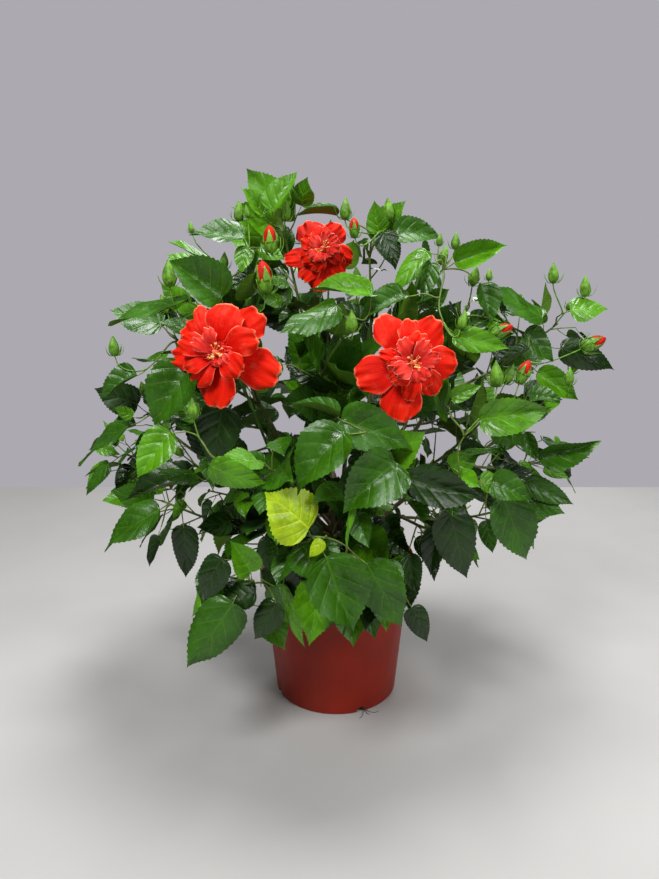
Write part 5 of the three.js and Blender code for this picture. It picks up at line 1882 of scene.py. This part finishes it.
def petal_finish(name, colour, rim):
    """Hibiscus petal: velvety, saturated, with fine ribs fanning from the claw and a paler ruffled rim. Painted shade
    darkens it towards the claw and a painted highlight lightens it towards its end.
    """
    material, tree, shader = new_material(name, colour, Roughness=0.6, IOR=1.35)
    shader.inputs["Specular IOR Level"].default_value = 0.18
    seen = add_node(tree, "ShaderNodeTexCoord")
    parts = add_node(tree, "ShaderNodeSeparateXYZ", {0: seen.outputs["UV"]})
    fan = add_node(tree, "ShaderNodeMapping", {"Vector": seen.outputs["UV"], "Scale": (1.6, 26, 1)}).outputs[0]
    ribs = add_node(tree, "ShaderNodeTexNoise", {"Vector": fan, "Scale": 1.0, "Detail": 3}).outputs["Fac"]
    cloud = grain(tree, seen.outputs["Object"], 14, 2)
    darker = tuple(c * f for c, f in zip(colour, (0.62, 0.15, 0.5)))
    # A painted highlight: a lighter, more orange red for the outer part of the petal, as if sunlit.
    sunlit = tuple(c * f + a for c, f, a in zip(colour, (1.02, 1.2, 1.0), (0, 0.012, 0.002)))
    body = colour_mix(tree, spread(tree, ribs, 0.36, 0.64, 0, 0.6), colour, darker)
    body = colour_mix(tree, spread(tree, cloud, 0.5, 0.8, 0, 0.2), body, rim)
    # Painted shade makes the petal darker towards its claw, deep in the bloom. A painted highlight then makes it
    # lighter towards its end.
    body = colour_mix(tree, spread(tree, parts.outputs["X"], 0.0, 0.4, 0.85, 0), body, darker)
    body = colour_mix(tree, spread(tree, parts.outputs["X"], 0.45, 1.0, 0, 0.5), body, sunlit)
    at_rim = spread(tree, parts.outputs["X"], 0.945, 1.0, 0, 0.9)
    at_side = spread(tree, math_of(tree, "ABSOLUTE", math_of(tree, "SUBTRACT", parts.outputs["Y"], 0.5)), 0.455, 0.5,
                     0, 0.9)
    body = colour_mix(tree, math_of(tree, "MAXIMUM", at_rim, at_side), body, rim)
    tree.links.new(body, shader.inputs["Base Color"])
    bump(tree, shader, ribs, 0.9, 0.7)
    return material


def add_petal(joined, claw, face, spoke, length, width, lift, roll, ruffle, thick, curl):
    """One petal as a closed thin shell: a narrow claw, a broad blade and a ruffled, nicked rim."""
    side = unit(cross(face, spoke))
    u = np.linspace(0, 1, PETAL_ROWS)[:, None]
    v = np.linspace(-1, 1, PETAL_COLUMNS)[None, :]
    wide = np.interp(u, PETAL_SHARES, PETAL_WIDTHS)
    phase, second, third = 6.28 * roll(), 6.28 * roll(), 6.28 * roll()
    nick = 0.012 * np.sin(6 * v + phase) + 0.008 * np.sin(14 * v + second) - 0.04 * np.exp(-((v * 3) ** 2))
    along = u * (1 - 0.24 * np.abs(v) ** 3 * u**2 + nick * u**4)
    across = wide * v * (1 + 0.02 * np.sin(17 * u + third) * u)
    rim = np.clip((np.maximum(u, np.abs(v) * u**0.5) - 0.45) / 0.55, 0, 1) ** 2
    waves = ruffle * (np.sin(7.5 * v + phase) + 0.6 * np.sin(15 * v + 9 * u + second)) * rim
    waves = waves + ruffle * 0.3 * np.sin(27 * v + 14 * u + third) * rim**2
    waves = waves + ruffle * 0.35 * np.sin(11 * u + third) * np.abs(v) ** 3
    rise = length * (lift * np.sin(2.2 * u) - (0.12 + curl) * u**2 + 0.07 * u * v - 0.05 * v**2 * u) + waves
    centre = claw + (spoke * length) * along[..., None] + side * (width / 2 * across)[..., None]
    top = centre + face * rise[..., None]
    rows, columns = PETAL_ROWS, PETAL_COLUMNS
    taper = thick * (1 - 0.75 * np.maximum(u**4 + 0 * v, v**4 + 0 * u))
    bottom = top - face * taper[..., None]
    points = np.vstack([top.reshape(-1, 3), bottom.reshape(-1, 3)])
    half = rows * columns
    faces = []
    for r in range(rows - 1):
        for c in range(columns - 1):
            a, b = r * columns + c, (r + 1) * columns + c
            faces.append([a, b, b + 1, a + 1])
            faces.append([half + a, half + a + 1, half + b + 1, half + b])
    loop = [c for c in range(columns)]
    loop += [r * columns + columns - 1 for r in range(1, rows)]
    loop += [(rows - 1) * columns + c for c in reversed(range(columns - 1))]
    loop += [r * columns for r in reversed(range(1, rows - 1))]
    faces += [[loop[i], loop[(i + 1) % len(loop)], half + loop[(i + 1) % len(loop)], half + loop[i]]
              for i in range(len(loop))]
    uv = np.stack([u + 0 * v, (v + 1) / 2 + 0 * u], axis=-1).reshape(-1, 2)
    joined.add(points, faces, np.vstack([uv, uv]))


def stamen_mesh():
    """One stamen lying along Z: a short thread with a two-lobed anther at its end."""
    joined = Joined()
    add_tube(joined, [UP * 0, UP * 3.0, UP * 4.4], [0.22, 0.18, 0.15], 4)
    for shift in (-0.45, 0.45):
        lobe = np.array([[shift, 0, 4.2], [shift, 0, 4.7], [shift, 0, 5.4], [shift, 0, 5.8]])
        add_tube(joined, lobe, [0.25, 0.75, 0.7, 0.2], 6)
    return joined.mesh("stamen", [])


class HIBISCUS_OT_blooms(bpy.types.Operator):
    """Builds the double blooms: outer petals, crumpled inner petals, stamens, calyx and stalk"""

    bl_idname = "hibiscus.blooms"
    bl_label = "Blooms"

    def execute(self, context):
        given = context.scene.hibiscus_blooms
        ruffle = given.ruffle / MM
        petals, pale, green, columns = Joined(), Joined(), Joined(), Joined()
        for end in (end for end in grown().ends if end.is_bloom):
            roll = dice(300 + end.seed)
            across, other = square_to(end.face)
            radius = end.size / 2
            neck = end.goal - end.face * 10
            behind = neck - end.face * 26

            def spoke_at(degrees):
                return across * math.cos(math.radians(degrees)) + other * math.sin(math.radians(degrees))

            for turn, long, wide, lift, forward in PETALS[end.bloom]:
                claw = neck + end.face * radius * forward
                add_petal(petals, claw, end.face, spoke_at(turn), radius * long, radius * wide, lift, roll, ruffle,
                          0.9, mix(-0.06, 0.12, roll()))
            count, long = PETALOIDS[end.bloom]
            for k in range(count):
                turn = GOLDEN_TURN * k + mix(-16, 16, roll())
                claw = neck + end.face * mix(6, 17, k / count)
                size = radius * long * mix(0.7, 1.25, roll())
                add_petal(pale, claw, end.face, spoke_at(turn), size, size * mix(0.55, 1.0, roll()),
                          mix(0.5, 1.0, roll()), roll, ruffle * 1.3, 0.7, mix(-0.3, 0.4, roll()))
            line = np.array([neck + end.face * d for d in (1, 8, 16, 24, 31, 34)])
            add_tube(columns, line, [5, 4, 3.2, 3.0, 2.6, 0.8], 14)

            calyx = np.array([behind + end.face * d for d in (0, 4, 9, 15, 21, 26)])
            add_tube(green, calyx, [3, 5.2, 6.6, 7.4, 8.4, 9.4], 15)
            add_bractlets(green, behind, end.face, 1.15, 7, roll)
            out = unit(end.goal - end.base)
            stalk = bezier(end.base - out * 4, end.base + out * 40, behind - end.face * 30, behind + end.face * 2, 18)
            add_tube(green, stalk, np.linspace(2.1, 1.7, len(stalk)), 8)
            joint = resampled([stalk[-7], stalk[-6]], 4)
            add_tube(green, joint, np.array([1.7, 2.1, 2.4, 2.1, 1.7]), 8)
        red = petal_finish("velvety_petal", given.petal[:], given.rim[:])
        finish_piece("bloom_petals", petals.mesh("bloom_petals", [red]), BLOOM_NODES)
        pink = petal_finish("pale_petaloid", hex_colour("#ea362a"), hex_colour("#ffa496"))
        finish_piece("bloom_petaloids", pale.mesh("bloom_petaloids", [pink]), BLOOM_NODES)
        finish_piece("bloom_columns", columns.mesh("bloom_columns", [red]))
        leafy = calyx_finish(hex_colour("#557f2b"))
        finish_piece("bloom_stalks", green.mesh("bloom_stalks", [leafy]), BLOOM_NODES)
        pollen = new_pollen(given.anther[:])
        surface = columns.mesh("stamens", [])
        mesh = strewn("bloom_stamens", surface, stamen_mesh(), 80000, 1.0, 1.7, 5, pollen, True)
        finish_piece("bloom_stamens", mesh)
        return {"FINISHED"}


def new_pollen(colour):
    """Pollen on the anthers: matt, grainy, pale yellow."""
    material, tree, shader = new_material("pollen", colour, Roughness=0.8, IOR=1.4)
    place = add_node(tree, "ShaderNodeTexCoord").outputs["Object"]
    cloud = grain(tree, place, 3, 2)
    body = colour_mix(tree, spread(tree, cloud, 0.35, 0.65), colour, hex_colour("#ff9a62"))
    tree.links.new(body, shader.inputs["Base Color"])
    bump(tree, shader, grain(tree, place, 0.5, 2), 0.2, 0.8)
    return material


# ---- the stage ----
FLOOR_FAR = 1.17
FLOOR_NEAR = -2.4
FLOOR_SIDE = 3.2
CAMERA_PLACE = (-0.011, -1.090, 0.669)
CAMERA_DIP = 12.6
LENS_MM = 28.67


def floor_finish(colour):
    """A plain pale matt floor with the faintest unevenness."""
    material, tree, shader = new_material("plain_matt_floor", colour, Roughness=0.6, IOR=1.4)
    place = add_node(tree, "ShaderNodeTexCoord").outputs["Object"]
    cloud = grain(tree, place, 260, 2)
    body = colour_mix(tree, spread(tree, cloud, 0.3, 0.7, 0, 1), tuple(c * 0.95 for c in colour), colour)
    tree.links.new(body, shader.inputs["Base Color"])
    return material


def room_light(colour, fill):
    """A plain pale room: its full colour behind the plant, and only part of it as light on the plant."""
    world = bpy.data.worlds.new("soft_room")
    world.use_nodes = True
    tree = world.node_tree
    seen = add_node(tree, "ShaderNodeLightPath").outputs["Is Camera Ray"]
    strength = add_node(tree, "ShaderNodeMapRange", {"Value": seen, "To Min": fill, "To Max": 1.0}).outputs["Result"]
    background = tree.nodes["Background"]
    background.inputs["Color"].default_value = (*colour, 1)
    tree.links.new(strength, background.inputs["Strength"])
    return world


class HIBISCUS_OT_stage(bpy.types.Operator):
    """Sets out the floor, the soft studio light and the camera"""

    bl_idname = "hibiscus.stage"
    bl_label = "Stage"

    def execute(self, context):
        given = context.scene.hibiscus_stage
        scene = context.scene
        corners = [(-FLOOR_SIDE, FLOOR_NEAR), (FLOOR_SIDE, FLOOR_NEAR), (FLOOR_SIDE, FLOOR_FAR), (-FLOOR_SIDE, FLOOR_FAR)]
        mesh = bpy.data.meshes.new("floor")
        mesh.from_pydata([(x, y, 0) for x, y in corners], [], [(0, 1, 2, 3)])
        mesh.materials.append(floor_finish(given.floor[:]))
        floor = bpy.data.objects.new("floor", mesh)
        scene.collection.objects.link(floor)

        scene.world = room_light(given.room[:], given.fill)
        for name, place, aim, size, share in (
            ("key_softbox", (-0.75, -1.7, 2.3), (0, 0, 0.45), 0.8, 1.0),
            ("fill_softbox", (1.5, -1.5, 1.7), (0, 0, 0.4), 1.2, 0.45),
            ("top_softbox", (0.1, 0.1, 2.5), (0, 0, 0.5), 1.0, 0.9),
            ("back_softbox", (0.6, 2.2, 1.7), (0, 0, 0.5), 1.4, 0.4),
        ):
            lamp = bpy.data.lights.new(name, "AREA")
            lamp.shape, lamp.size, lamp.energy = "DISK", size, given.lamp * share
            holder = bpy.data.objects.new(name, lamp)
            holder.location = place
            holder.rotation_euler = (Vector(aim) - Vector(place)).to_track_quat("-Z", "Y").to_euler()
            scene.collection.objects.link(holder)

        camera = bpy.data.objects.new("camera", bpy.data.cameras.new("camera"))
        camera.data.lens = LENS_MM
        camera.data.sensor_width = 36
        camera.location = CAMERA_PLACE
        camera.rotation_euler = (math.radians(90 - CAMERA_DIP), 0, 0)
        scene.collection.objects.link(camera)
        scene.camera = camera
        scene.view_settings.view_transform = "Standard"
        return {"FINISHED"}


class HIBISCUS_PT_panel(bpy.types.Panel):
    """Lists the shrub's pieces and their settings"""

    bl_idname = "HIBISCUS_PT_panel"
    bl_label = "Potted hibiscus"
    bl_space_type = "VIEW_3D"
    bl_region_type = "UI"
    bl_category = "Hibiscus"

    def draw(self, context):
        for key, group in SETTINGS.items():
            box = self.layout.box()
            for name in group.__annotations__:
                box.prop(getattr(context.scene, key), name)
        for operator in OPERATORS:
            self.layout.operator(operator.bl_idname)


SETTINGS = {
    "hibiscus_pot": HibiscusPotSettings,
    "hibiscus_limbs": HibiscusLimbSettings,
    "hibiscus_leaves": HibiscusLeafSettings,
    "hibiscus_blooms": HibiscusBloomSettings,
    "hibiscus_stage": HibiscusStageSettings,
}
OPERATORS = (
    HIBISCUS_OT_stage,
    HIBISCUS_OT_pot,
    HIBISCUS_OT_potting_mix,
    HIBISCUS_OT_limbs,
    HIBISCUS_OT_twigs,
    HIBISCUS_OT_leaves,
    HIBISCUS_OT_buds,
    HIBISCUS_OT_blooms,
)


def register():
    for made in (*SETTINGS.values(), *OPERATORS, HIBISCUS_PT_panel):
        bpy.utils.register_class(made)
    for key, group in SETTINGS.items():
        setattr(bpy.types.Scene, key, bpy.props.PointerProperty(type=group))


def unregister():
    for key in SETTINGS:
        delattr(bpy.types.Scene, key)
    for made in (HIBISCUS_PT_panel, *OPERATORS, *SETTINGS.values()):
        bpy.utils.unregister_class(made)


def main():
    register()
    bpy.ops.hibiscus.stage()
    bpy.ops.hibiscus.pot()
    bpy.ops.hibiscus.potting_mix()
    bpy.ops.hibiscus.limbs()
    bpy.ops.hibiscus.twigs()
    bpy.ops.hibiscus.leaves()
    bpy.ops.hibiscus.buds()
    bpy.ops.hibiscus.blooms()


if __name__ == "__main__":
    main()
